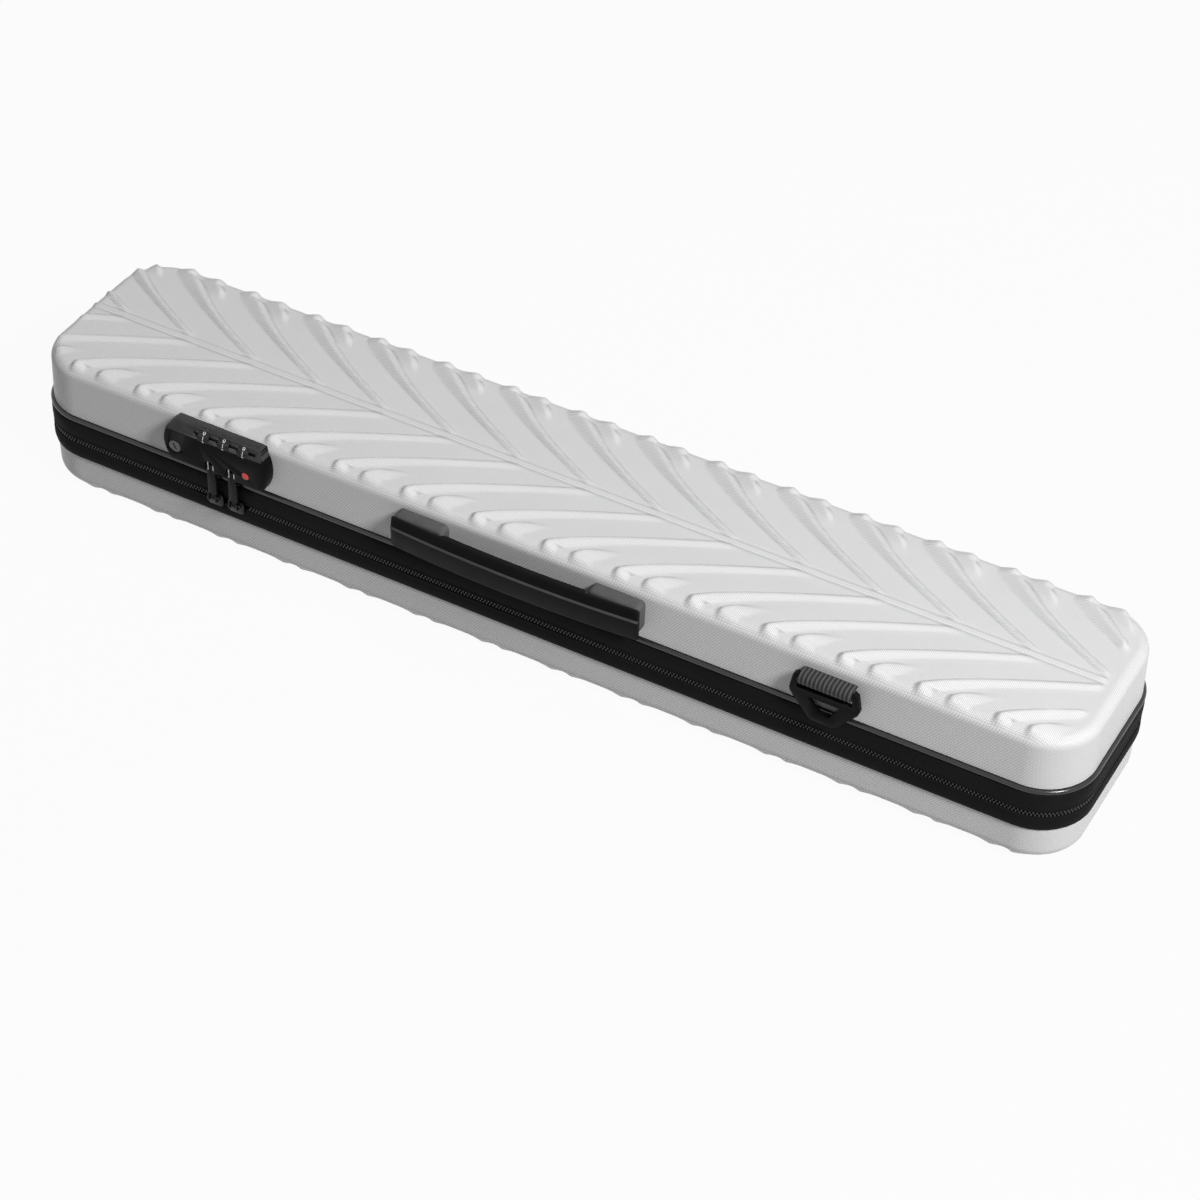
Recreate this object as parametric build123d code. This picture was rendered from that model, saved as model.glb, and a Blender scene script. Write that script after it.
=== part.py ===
from build123d import *
import math
import os

# Hard pool cue case: two moulded shells, a soft zipped band, a combination lock,
# a pull-out grip and a strap ring. Millimetres, +Z up, origin at the middle of the
# resting plane, +X towards the end with the strap ring, -Y is the front. Depths
# called "proud" are measured out from the front of the shell at its seam.

# Overall case, measured on the shells at their seams
case_length = 836.0
case_width = 154.0
corner_radius = 39.0
lower_shell_height = 34.0
band_height = 37.5
upper_shell_height = 45.5
shell_wall = 2.2
shell_draft = 1.5
upper_edge_radius = 12.0
lower_edge_radius = 14.0
outer_steps = 2
inner_steps = 2

# Leaf relief that stiffens both shells
relief_height = 3.3
relief_flat = 0.5
relief_sink = 0.8
rib_pitch = 56.63
rib_first_offset = 35.4
rib_run = 84.0
rib_bend = 1.5
rib_flats = 3
rib_spread = 8.6
rib_root_height = 0.9
rib_thin = 0.7
crest_share = 0.36
wall_fade = 9.0
minor_offset = 26.0
minor_height = 2.4
minor_start = 0.58
midrib_width = 6.0
midrib_height = 1.3
keel_width = 12.0
keel_height = 4.0
deep_sink = 3.0
end_reach = 36.0
pad_gap = 1.0

# Soft band, piping and zip
band_proud = 2.0
band_depth = 6.2
tongue_height = 8.0
tongue_depth = 1.5
tongue_gap = 0.5
piping_size = 4.0
piping_proud = 2.5
piping_drop = 0.3
piping_edge = 1.2
zip_share = 0.4
zip_recess = 0.8
zip_half_height = 2.15
slider_side_room = 0.8
slider_core_room = 0.4
fit_gap = 0.1
half_gap = 0.05

# Cloth hinge along the back
hinge_end_gap = 48.0
hinge_thick = 1.0
hinge_shell_gap = 4.8

# Foam beds, with channels for butts below and shafts above
foam_side_gap = 1.4
foam_floor_gap = 0.2
foam_edge_bevel = 9.0
foam_drop = 3.0
lid_foam_drop = 3.0
foam_pocket_depth = 24.0
butt_channel_width = 34.0
butt_channel_depth = 30.0
butt_channel_pitch = 42.0
channel_end_wall = 22.4
channel_floor_share = 0.6
butt_channels = 3
shaft_channel_width = 16.0
shaft_channel_depth = 22.0
shaft_channel_pitch = 23.0
shaft_channels = 4
strap_width = 38.0
strap_thick = 1.2
strap_x = 230.0
strap_side_gap = 3.4

# Lock
lock_x = -245.5
lock_top_length = 78.0
lock_middle_length = 94.0
lock_bottom_length = 82.0
lock_height = 34.0
lock_top_drop = 6.0
lock_proud = 10.0
lock_bevel = 1.5
lock_top_bevel_height = 6.5
lock_top_bevel_depth = 4.5
seat_gap = 0.1
dial_count = 3
dial_pitch = 17.0
dial_x = -240.3
dial_radius = 6.5
dial_width = 9.0
dial_side_gap = 0.2
dial_face_recess = 0.3
dial_top_cover = 0.5
dial_grooves = 10
dial_groove_depth = 0.6
dial_room = 0.4
dial_room_sides = 16
dial_axle_radius = 1.5
running_gap = 0.08
bore_sides = 10
window_length = 56.0
window_low_drop = 5.2
window_high_drop = 0.8
window_ledge = 2.8
boss_back_wall = 1.2
boss_wall = 1.9
boss_end = 4.0
key_x = -282.6
key_drop = 21.7
key_radius = 5.0
key_depth = 8.2
key_panel_depth = 0.6
keyway_width = 1.2
keyway_length = 6.0
keyway_depth = 2.0
keyway_turn = 25.0
pull_slot_width = 8.4
pull_slot_height = 10.5
pull_slot_back = 3.8
dot_radius = 2.6
dot_depth = 0.5
dot_x = -221.4
dot_rise = 10.0
lock_plate_drop = 21.5
lock_plate_x = (-274.0, -213.0)
lock_plate_height = 10.0
plate_thick = 1.5

# Zip sliders and pulls
slider_x = (-253.4, -235.3)
slider_length = 14.0
slider_height = 11.0
slider_corner = 2.2
slider_plate = 2.0
slider_gap = 0.25
slider_core_half = 5.5
slider_core_height = 4.0
slider_core_depth = 1.5
ear_thick = 1.6
ear_gap = 0.2
ear_radius = 2.6
pivot_proud = 6.4
pivot_rise = 2.8
pull_pin_radius = 1.0
pull_width = 7.0
pull_neck_width = 4.4
pull_thick = 2.2
pull_neck_length = 3.6
pull_tip_gap = 0.8
pull_tip_flat = 2.0
eye_width = 3.4
eye_height = 2.4
eye_drop = 3.2

# Handle
handle_x = 1.0
handle_length = 198.0
handle_height = 27.0
handle_top_drop = 13.5
mount_length = 37.0
mount_height = 24.0
mount_proud = 5.4
mount_offset = 78.0
mount_corner = 2.5
grip_gap = 0.6
grip_bow = 4.0
grip_top_depth = 4.5
grip_ridge_drop = 9.5
grip_ridge_depth = 6.6
grip_low_depth = 5.0
grip_end_bevel = 2.5
leg_length = 14.0
leg_height = 8.0
leg_drop = 12.0
leg_gap = 0.4
grip_travel = 12.0
stop_plate_length = 20.0
stop_plate_height = 14.0
stop_plate_thick = 2.0
stop_groove_depth = 1.2
stop_lip = 1.5
stop_clearance = 0.4
guide_plate_height = 19.0

# Strap ring at the front
ring_x = 239.5
ring_axis_z = 97.0
ring_axis_proud = 6.0
webbing_width = 39.5
webbing_thick = 1.8
webbing_radius = 3.0
webbing_block_height = 10.4
webbing_block_depth = 1.6
ring_bar_radius = 2.4
ring_bar_room = 0.6
ring_thick = 4.0
ring_top_half = 23.5
ring_wide_half = 26.5
ring_wide_drop = 12.0
ring_low_half = 9.0
ring_low_drop = 33.0
ring_corner_flat = 2.0
ring_shoulder = 4.2
ring_slot_low = 8.4
ring_eye_top = 13.5
ring_eye_low = 25.5
ring_eye_top_half = 12.0
ring_eye_low_half = 4.5
anchor_length = 54.0
anchor_height = 16.0

# Levels and faces worked out from the sizes above
lower_seam_z = lower_shell_height
upper_seam_z = lower_seam_z + band_height
case_height = upper_seam_z + upper_shell_height
relief_crest = relief_height - relief_flat
lower_plateau_z = relief_crest
upper_plateau_z = case_height - relief_crest
zip_z = lower_seam_z + zip_share * band_height
front_y = -case_width / 2
lean = math.tan(math.radians(shell_draft))
hinge_length = case_length - 2 * hinge_end_gap
hinge_leaf = zip_share * band_height - hinge_shell_gap
hinge_leaf_y = case_width / 2 + band_proud + half_gap
hinge_axis_y = hinge_leaf_y + hinge_thick + half_gap
lock_top_z = case_height - lock_top_drop
lock_z = lock_top_z - lock_height / 2
lock_bottom_z = lock_top_z - lock_height
dial_z = lock_top_z - dial_radius - dial_top_cover
dial_axis_proud = lock_proud - dial_face_recess - dial_radius
boss_depth = dial_radius + dial_room - dial_axis_proud + boss_back_wall
pivot_z = zip_z + pivot_rise
slot_top_z = lock_bottom_z + pull_slot_height
handle_top_z = case_height - handle_top_drop
foam_inset = shell_wall + tongue_gap + tongue_depth + foam_side_gap
foam_pocket_y = case_width / 2 - foam_pocket_depth
strap_span = case_width - 2 * (foam_inset + strap_side_gap)
channel_length = case_length - 2 * (foam_inset + channel_end_wall)
leg_z = handle_top_z - leg_drop
lock_plate_z = lock_top_z - lock_plate_drop
guide_top_z = leg_z + guide_plate_height / 2
guide_back = -(guide_top_z - upper_seam_z) * lean - shell_wall - fit_gap - plate_thick
leg_reach = grip_travel + stop_clearance - guide_back + stop_plate_thick + stop_lip + half_gap
FAR = 2000.0


# Rounded rectangle that follows the case in plan, moved outwards by "outset"
def plan(outset):
    length = case_length + 2 * outset
    width = case_width + 2 * outset
    return RectangleRounded(length, width, corner_radius + outset)


# Upright ring that follows the case in plan
def plan_ring(outset, depth, low, high):
    return Pos(0, 0, low) * extrude(plan(outset) - plan(outset - depth), amount=high - low)


def block(low, high):
    size = [b - a for a, b in zip(low, high)]
    middle = [(a + b) / 2 for a, b in zip(low, high)]
    return Pos(*middle) * Box(*size)


# Block placed by its depth in front of the wall
def front_block(x_low, x_high, proud_low, proud_high, z_low, z_high):
    return block((x_low, front_y - proud_high, z_low), (x_high, front_y - proud_low, z_high))


def bar_x(x_low, x_high, y, z, radius):
    return Pos((x_low + x_high) / 2, y, z) * Rot(0, 90, 0) * Cylinder(radius, x_high - x_low)


# Many-sided bar that clears a round one of that radius
def sided_bar_x(x_low, x_high, y, z, radius, sides):
    profile = RegularPolygon(radius, sides, major_radius=False)
    plane = Plane(origin=(x_low, y, z), x_dir=(0, 1, 0), z_dir=(1, 0, 0))
    return extrude(plane * profile, amount=x_high - x_low)


def front_bar(x, proud_low, proud_high, z, radius):
    y = front_y - (proud_low + proud_high) / 2
    return Pos(x, y, z) * Rot(90, 0, 0) * Cylinder(radius, proud_high - proud_low)


# A sketch drawn in X and Z, pushed outwards between two depths
def front_prism(sketch, x, z, proud_low, proud_high, taper=0.0):
    plane = Plane(origin=(x, front_y - proud_low, z), x_dir=(1, 0, 0), z_dir=(0, -1, 0))
    return extrude(plane * sketch, amount=proud_high - proud_low, dir=(0, -1, 0), taper=taper)


# A profile drawn as (proud, z) points, pushed along X
def side_prism(points, x_low, x_high):
    flat = Polyline(*[(x_low, front_y - proud, z) for proud, z in points], close=True)
    return extrude(make_face(flat), amount=x_high - x_low, dir=(1, 0, 0))


def together(pieces):
    return Compound(children=[solid for piece in pieces for solid in piece.solids()])


# Shells

# Drafted block standing on its seam, its far edge rounded off in flat steps
def shell_form(height, edge_radius, inset, steps=outer_steps):
    wall_top = height - edge_radius
    form = extrude(plan(-inset), amount=wall_top, taper=shell_draft)
    outset = -inset - wall_top * lean
    for i in range(steps):
        low_angle = math.pi / 2 * i / steps
        high_angle = math.pi / 2 * (i + 1) / steps
        rise = edge_radius * (math.sin(high_angle) - math.sin(low_angle))
        step_in = edge_radius * (math.cos(low_angle) - math.cos(high_angle))
        base = plan(outset - edge_radius * (1 - math.cos(low_angle)))
        base = Pos(0, 0, wall_top + edge_radius * math.sin(low_angle)) * base
        form += extrude(base, amount=rise, taper=math.degrees(math.atan2(step_in, rise)))
    return form


def hollow_form(height, edge_radius):
    return shell_form(height - shell_wall, edge_radius - shell_wall, shell_wall, inner_steps)


# Place on the skin at an angle round its edge: along, height
def skin_place(travel, angle, height, edge_radius):
    y = travel + edge_radius * math.sin(angle)
    return y, height - edge_radius * (1 - math.cos(angle))


def rounded_edge_y(height, edge_radius):
    return case_width / 2 - height * lean - edge_radius


# Corners of a rib's triangular slice in the plane of X and the skin's normal
def rib_slice(x, rise, sink, travel, angle, height, edge_radius):
    y, z = skin_place(travel, angle, height, edge_radius)
    width = rib_spread * (rise + sink)
    left = width * crest_share
    points = []
    for dx, lift in ((-left, -sink), (0, rise), (width - left, -sink)):
        points.append((x + dx, y + lift * math.sin(angle), z + lift * math.cos(angle)))
    return points


def flat_face(corners):
    return Face(Wire.make_polygon(corners, close=True))


# Solid with flat facets through a row of triangular slices, drawn out to a point
def faceted_bar(slices, straight, tip):
    faces = [flat_face(slices[0])]
    for k, (a, b) in enumerate(zip(slices, slices[1:])):
        for i in range(3):
            j = (i + 1) % 3
            if k < straight:
                faces.append(flat_face((a[i], a[j], b[j], b[i])))
            else:
                faces.append(flat_face((a[i], a[j], b[j])))
                faces.append(flat_face((a[i], b[j], b[i])))
    for i in range(3):
        faces.append(flat_face((slices[-1][i], slices[-1][(i + 1) % 3], tip)))
    return Solid(Shell(faces))


# A rib leaves the midrib at a low angle and meets the edge nearly square
def rib_drift(travel, edge_y):
    share = min(travel / edge_y, 1.0)
    return rib_run * (1 - share) ** rib_bend


# A rib rises from its start to the edge, then thins out round the edge
def rib(x_edge, rises, start_share, flats, turns, sink, height, edge_radius):
    root_rise, edge_rise = rises
    edge_y = rounded_edge_y(height, edge_radius)
    start = start_share * edge_y
    slices = []
    for i in range(flats + 1):
        travel = start + (edge_y - start) * i / flats
        rise = root_rise + (edge_rise - root_rise) * i / flats
        x = x_edge + rib_drift(travel, edge_y)
        slices.append(rib_slice(x, rise, sink, travel, 0.0, height, edge_radius))
    for i in range(1, turns + 1):
        angle = math.pi / 2 * i / outer_steps
        rise = edge_rise * (1 - rib_thin * i / outer_steps)
        slices.append(rib_slice(x_edge, rise, sink, edge_y, angle, height, edge_radius))
    angle = math.pi / 2 * min((turns + 1) / outer_steps, 1)
    y, z = skin_place(edge_y, angle, height, edge_radius)
    z -= wall_fade if turns == outer_steps else 0
    tip = (x_edge, y - sink * math.sin(angle), z - sink * math.cos(angle))
    return faceted_bar(slices, flats, tip)


def rib_pair(x_edge, sink, height, edge_radius, minors):
    major = (rib_root_height, relief_height)
    yield rib(x_edge, major, 0.03, rib_flats, outer_steps, sink, height, edge_radius)
    if minors:
        minor = (0.0, minor_height)
        yield rib(x_edge + minor_offset, minor, minor_start, 1, 1, sink, height, edge_radius)


# Ridge along the middle of a shell
def ridge_along(height, width, rise):
    half = case_length / 2 - upper_edge_radius
    points = [(-width / 2, -relief_sink), (0, rise), (width / 2, -relief_sink)]
    ridge = Polyline(*[(-half, y, height + lift) for y, lift in points], close=True)
    return extrude(make_face(ridge), amount=2 * half, dir=(1, 0, 0))


# All ribs of one shell, trimmed where they run round an end of the case
def relief(height, edge_radius, minors):
    outer = shell_form(height + relief_height, edge_radius + relief_height, -relief_height)
    inner = hollow_form(height, edge_radius)
    limit = case_length / 2 - corner_radius
    ribs = []
    for k in range(-1, int(case_length / rib_pitch)):
        x_edge = rib_first_offset - case_length / 2 + k * rib_pitch
        near_end = x_edge < -limit + end_reach or x_edge > limit - end_reach
        sink = deep_sink if near_end else relief_sink
        for shape in rib_pair(x_edge, sink, height, edge_radius, minors):
            if near_end:
                shape = (shape & outer) - inner
            for solid in shape.solids():
                ribs.append(solid)
                ribs.append(mirror(solid, about=Plane.XZ))
    return ribs


def ribbed_shell(height, edge_radius, ridge, minors):
    shell = shell_form(height, edge_radius, 0) - hollow_form(height, edge_radius)
    shell = shell.fuse(ridge_along(height, *ridge), *relief(height, edge_radius, minors))
    crest = height + relief_height - relief_flat
    return shell & block((-FAR, -FAR, 0), (FAR, FAR, crest))


# Outer form of the upper shell in place, grown outwards by "outset"
def upper_form(outset):
    height = upper_plateau_z - upper_seam_z + outset
    return Pos(0, 0, upper_seam_z) * shell_form(height, upper_edge_radius + outset, -outset)


# Blocks of space in front of the wall where the skin is left plain for fittings
def fitting_pads():
    top = handle_top_z + pad_gap
    half = handle_length / 2 + pad_gap
    lock_half = lock_middle_length / 2 + pad_gap
    yield front_block(handle_x - half, handle_x + half, -30, 20, upper_seam_z, top)
    yield front_block(lock_x - lock_half, lock_x + lock_half, -30, 20, upper_seam_z, lock_top_z + pad_gap)
    ring_half = ring_wide_half + pad_gap
    yield front_block(ring_x - ring_half, ring_x + ring_half, -30, 20, upper_seam_z, top)


# The case stands on the flat of its keel and on the crests of the ribs
def make_lower_shell():
    keel = (keel_width, keel_height)
    shell = ribbed_shell(lower_seam_z - lower_plateau_z, lower_edge_radius, keel, minors=False)
    return Pos(0, 0, lower_seam_z) * mirror(shell, about=Plane.XY)


def make_upper_shell():
    spine = (midrib_width, midrib_height)
    shell = ribbed_shell(upper_plateau_z - upper_seam_z, upper_edge_radius, spine, minors=True)
    shell = Pos(0, 0, upper_seam_z) * shell
    plain = upper_form(0)
    for pad in fitting_pads():
        shell = shell - (pad - plain)
    for hole in shell_holes():
        shell = shell - hole
    return shell


# Openings through the front wall for the fittings
def shell_holes():
    yield lock_boss(fit_gap)
    for side in (-1, 1):
        x = handle_x + side * mount_offset
        yield leg_block(x, -8, 2, leg_gap)
    half = webbing_width / 2 + fit_gap
    reach = webbing_radius + webbing_thick + fit_gap
    yield front_block(ring_x - half, ring_x + half, -8, 2, ring_axis_z - reach, ring_axis_z + reach)


# Soft band, piping, zip and cloth hinge. Each half is drawn from the zip line up.

def zip_run_stop():
    half = hinge_length / 2 + 2
    return block((-half, case_width / 4, -FAR), (half, FAR, FAR))


# Space between the band's halves for the sliders' cores
def slider_rooms():
    for x in slider_x:
        half = slider_core_half + slider_side_room
        room = slider_core_height / 2 + slider_core_room
        depth = slider_core_depth + slider_core_room
        yield front_block(x - half, x + half, -depth, 10, -FAR, room)


# Lips inside the shell, along the straight stretches of the band
def tongues(low, high):
    along = case_length / 2 - corner_radius
    across = case_width / 2 - corner_radius
    straights = block((-along, -FAR, low), (along, FAR, high))
    straights += block((-FAR, -across, low), (FAR, across, high))
    return plan_ring(-(shell_wall + tongue_gap), tongue_depth, low, high) & straights


def band_half(height, beaded):
    band = plan_ring(band_proud, band_depth, half_gap, height)
    band += tongues(height - 1, height + tongue_height)
    recess = plan_ring(band_proud + 1, 1 + zip_recess, 0, zip_half_height)
    band -= recess - zip_run_stop()
    for room in slider_rooms():
        band -= room
    if beaded:
        step_depth = piping_size - (piping_proud - band_proud) + half_gap
        step_low = height - piping_size - piping_drop
        band -= plan_ring(band_proud + 1, 1 + step_depth, step_low, height + 1)
    return band


def piping_half(height):
    ring = Pos(0, 0, height - piping_size - piping_drop + half_gap) * extrude(plan(piping_proud), amount=piping_size)
    ends = ring.faces().sort_by(Axis.Z)
    ring = chamfer(ends[0].edges() + ends[-1].edges(), piping_edge)
    return ring - Pos(0, 0, -FAR / 2) * extrude(plan(piping_proud - piping_size), amount=FAR)


def hinge_half():
    half = hinge_length / 2
    return block((-half, hinge_leaf_y, half_gap), (half, hinge_leaf_y + hinge_thick, hinge_leaf))


def on_lid(shape):
    return Pos(0, 0, zip_z) * shape


def on_base(shape):
    return Pos(0, 0, zip_z) * mirror(shape, about=Plane.XY)


upper_band_height = upper_seam_z - zip_z
lower_band_height = zip_z - lower_seam_z


# Foam beds

def channels(count, pitch, width, depth, top, sign):
    for i in range(count):
        y = (i - (count - 1) / 2) * pitch
        half = width / 2
        floor_half = half * channel_floor_share
        bend_z = top - sign * (depth - half)
        floor_z = top - sign * depth
        profile = [
            (y - half, top + sign * 5),
            (y - half, bend_z),
            (y - floor_half, floor_z),
            (y + floor_half, floor_z),
            (y + half, bend_z),
            (y + half, top + sign * 5),
        ]
        flat = Polyline(*[(-channel_length / 2, a, b) for a, b in profile], close=True)
        yield extrude(make_face(flat), amount=channel_length, dir=(1, 0, 0))


def make_lower_foam():
    floor_z = lower_plateau_z + shell_wall + foam_floor_gap
    top = zip_z - foam_drop
    foam = extrude(plan(-foam_inset), amount=top - floor_z)
    foam = chamfer(foam.faces().sort_by(Axis.Z)[0].edges(), foam_edge_bevel)
    foam = Pos(0, 0, floor_z) * foam
    for cut in channels(butt_channels, butt_channel_pitch, butt_channel_width, butt_channel_depth, top, 1):
        foam -= cut
    return foam


def make_upper_foam():
    ceiling = upper_plateau_z - shell_wall - foam_floor_gap
    low = zip_z + lid_foam_drop
    foam = extrude(plan(-foam_inset), amount=ceiling - low)
    foam = chamfer(foam.faces().sort_by(Axis.Z)[-1].edges(), foam_edge_bevel)
    foam = Pos(0, 0, low) * foam
    for cut in channels(shaft_channels, shaft_channel_pitch, shaft_channel_width, shaft_channel_depth, low, -1):
        foam -= cut
    half = handle_length / 2
    for x_low, x_high in ((-280, -205), (handle_x - half, handle_x + half), (ring_x - 30, ring_x + 30)):
        foam -= block((x_low, -FAR, upper_seam_z + 6), (x_high, -foam_pocket_y, FAR))
    return foam


# Elastic straps lie across the lower bed
def make_straps():
    low = zip_z - foam_drop + half_gap
    half = strap_width / 2
    straps = []
    for x in (-strap_x, strap_x):
        straps.append(block((x - half, -strap_span / 2, low), (x + half, strap_span / 2, low + strap_thick)))
    return straps


# Lock

def lock_outline():
    top = lock_top_length / 2
    middle = lock_middle_length / 2
    bottom = lock_bottom_length / 2
    half = lock_height / 2
    return make_face([
        Line((-top, half), (top, half)),
        ThreePointArc((top, half), (middle, 0), (bottom, -half)),
        Line((bottom, -half), (-bottom, -half)),
        ThreePointArc((-bottom, -half), (-middle, 0), (-top, half)),
    ])


# Block behind the lock that carries the dials through the wall
def lock_boss(grow):
    half = dial_pitch + dial_width / 2 + dial_side_gap + boss_end + grow
    room = dial_radius + dial_room + boss_wall + grow
    x_low = dial_x - half
    x_high = dial_x + half
    top = min(dial_z + room, lock_top_z - 2 + grow)
    return front_block(x_low, x_high, -boss_depth - grow, 3, dial_z - room, top)


def dial_places():
    return [dial_x + (i - (dial_count - 1) / 2) * dial_pitch for i in range(dial_count)]


def make_lock_body():
    outline = lock_outline()
    body = front_prism(outline, lock_x, lock_z, -6, lock_proud - lock_bevel)
    body += front_prism(outline, lock_x, lock_z, lock_proud - lock_bevel, lock_proud, taper=45)
    bevel = [
        (lock_proud + 1, lock_top_z - lock_top_bevel_height - 1.44),
        (lock_proud - lock_top_bevel_depth - 0.69, lock_top_z + 1),
        (lock_proud + 1, lock_top_z + 1),
    ]
    body -= side_prism(bevel, lock_x - lock_middle_length, lock_x + lock_middle_length)
    body -= upper_form(seat_gap)
    body += lock_boss(0)
    axis_y = front_y - dial_axis_proud
    for x in dial_places():
        half = dial_width / 2 + dial_side_gap
        body -= sided_bar_x(x - half, x + half, axis_y, dial_z, dial_radius + dial_room, dial_room_sides)
    half = window_length / 2
    middle = lock_top_z - (window_low_drop + window_high_drop) / 2
    height = window_low_drop - window_high_drop
    ledge = lock_proud - window_ledge
    window = RectangleRounded(window_length, height, height / 2 - 0.1)
    body -= front_prism(window, dial_x + 2.0, middle, ledge, lock_proud + 2)
    axle_half = dial_pitch + dial_width / 2 + boss_end - 1
    bore = dial_axle_radius + half_gap
    body -= sided_bar_x(dial_x - axle_half, dial_x + axle_half, axis_y, dial_z, bore, bore_sides)
    panel = Polygon((-6.4, -8.5), (7.1, -8.5), (9.1, 9.5), (-2.9, 9.5), align=None)
    key_z = lock_top_z - key_drop
    body -= front_prism(panel, key_x, key_z + 5, lock_proud - key_panel_depth, lock_proud + 1)
    key_back = lock_proud - key_panel_depth - key_depth - fit_gap
    body -= front_bar(key_x, key_back, lock_proud + 1, key_z, key_radius + running_gap)
    for x in slider_x:
        radius = pull_slot_width / 2
        body -= front_bar(x, pull_slot_back, lock_proud + 1, slot_top_z - radius, radius)
        low = lock_bottom_z - 1
        body -= front_block(x - radius, x + radius, pull_slot_back, lock_proud + 1, low, slot_top_z - radius)
    body -= front_bar(dot_x, lock_proud - dot_depth, lock_proud + 1, lock_bottom_z + dot_rise, dot_radius + half_gap)
    return body


def make_dial(x):
    axis_y = front_y - dial_axis_proud
    rim = []
    for i in range(dial_grooves * 3):
        angle = 2 * math.pi * (i + 1) / (dial_grooves * 3)
        reach = dial_radius - (dial_groove_depth if i % 3 == 0 else 0)
        rim.append((x - dial_width / 2, axis_y + reach * math.cos(angle), dial_z + reach * math.sin(angle)))
    dial = extrude(make_face(Polyline(*rim, close=True)), amount=dial_width, dir=(1, 0, 0))
    bore = dial_axle_radius + running_gap
    return dial - sided_bar_x(x - dial_width, x + dial_width, axis_y, dial_z, bore, bore_sides)


def make_dial_axle():
    half = dial_pitch + dial_width / 2 + boss_end - 1 - half_gap
    return bar_x(dial_x - half, dial_x + half, front_y - dial_axis_proud, dial_z, dial_axle_radius)


def make_key_cylinder():
    face = lock_proud - key_panel_depth + 0.2
    key_z = lock_top_z - key_drop
    cylinder = front_bar(key_x, face - 0.2 - key_depth, face, key_z, key_radius)
    slot = Rot(0, 0, keyway_turn) * Rectangle(keyway_width, keyway_length)
    return cylinder - front_prism(slot, key_x, key_z, face - keyway_depth, face + 1)


def make_dot():
    z = lock_bottom_z + dot_rise
    return front_bar(dot_x, lock_proud - dot_depth + half_gap, lock_proud + 0.2, z, dot_radius)


# Depth of the inner face of the front wall, at its closest over a fitting
def wall_back(z):
    return -(z - upper_seam_z) * lean - shell_wall


def make_lock_plate():
    top = lock_plate_z + lock_plate_height / 2
    face = wall_back(top) - fit_gap
    low = lock_plate_z - lock_plate_height / 2
    plate = front_block(*lock_plate_x, face - plate_thick, face, low, top)
    return plate


# Zip sliders and pulls

def make_slider(x):
    face = band_proud + slider_gap
    half = slider_length / 2
    plate_face = face + slider_plate
    plate = Rectangle(slider_length, slider_height)
    plate = chamfer(plate.vertices(), slider_corner)
    slider = front_prism(plate, x, zip_z, face, plate_face)
    core = slider_core_half
    core_top = slider_core_height / 2
    slider += front_block(x - core, x + core, -slider_core_depth, face + 0.5, zip_z - core_top, zip_z + core_top)
    inner = pull_neck_width / 2 + ear_gap
    for side in (-1, 1):
        x_low, x_high = sorted((x + side * inner, x + side * (inner + ear_thick)))
        reach = ear_radius
        ear = [
            (face + 0.5, pivot_z - reach),
            (pivot_proud + reach / 2, pivot_z - reach),
            (pivot_proud + reach, pivot_z - reach / 2),
            (pivot_proud + reach, pivot_z + reach / 2),
            (pivot_proud + reach / 2, pivot_z + reach),
            (face + 0.5, pivot_z + reach),
        ]
        slider += side_prism(ear, x_low, x_high)
    reach = inner + ear_thick
    bore = pull_pin_radius + half_gap
    axis_y = front_y - pivot_proud
    return slider - sided_bar_x(x - reach - 1, x + reach + 1, axis_y, pivot_z, bore, bore_sides)


def make_pull_pin(x):
    reach = pull_neck_width / 2 + ear_gap + ear_thick
    return bar_x(x - reach, x + reach, front_y - pivot_proud, pivot_z, pull_pin_radius)


def make_pull(x):
    low = pivot_proud - pull_thick / 2
    high = pivot_proud + pull_thick / 2
    neck_half = pull_neck_width / 2
    half = pull_width / 2
    tip_z = slot_top_z - pull_tip_gap
    neck_top = pivot_z + pull_neck_length
    knuckle = pull_pin_radius + 0.9
    pull = bar_x(x - neck_half, x + neck_half, front_y - pivot_proud, pivot_z, knuckle)
    pull += front_block(x - neck_half, x + neck_half, low, high, pivot_z, neck_top + 1)
    tab = Rectangle(pull_width, tip_z - neck_top)
    tab = chamfer(tab.vertices().group_by(Axis.Y)[-1], pull_tip_flat)
    pull += front_prism(tab, x, (tip_z + neck_top) / 2, low, high)
    pull -= front_prism(Rectangle(eye_width, eye_height), x, tip_z - eye_drop, low - 1, high + 1)
    bore = pull_pin_radius + running_gap
    return pull - sided_bar_x(x - half, x + half, front_y - pivot_proud, pivot_z, bore, bore_sides)


# Handle

def mount_places():
    return [handle_x - mount_offset, handle_x + mount_offset]


def leg_block(x, proud_low, proud_high, grow):
    half = leg_length / 2 + grow
    low = leg_z - leg_height / 2 - grow
    high = leg_z + leg_height / 2 + grow
    return front_block(x - half, x + half, proud_low, proud_high, low, high)


def make_mount(x):
    outline = Rectangle(mount_length, mount_height)
    outline = chamfer(outline.vertices(), mount_corner)
    mount = front_prism(outline, x, handle_top_z - mount_height / 2, -3, mount_proud)
    mount -= upper_form(half_gap)
    mount -= leg_block(x, -6, 10, leg_gap)
    return mount


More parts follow.
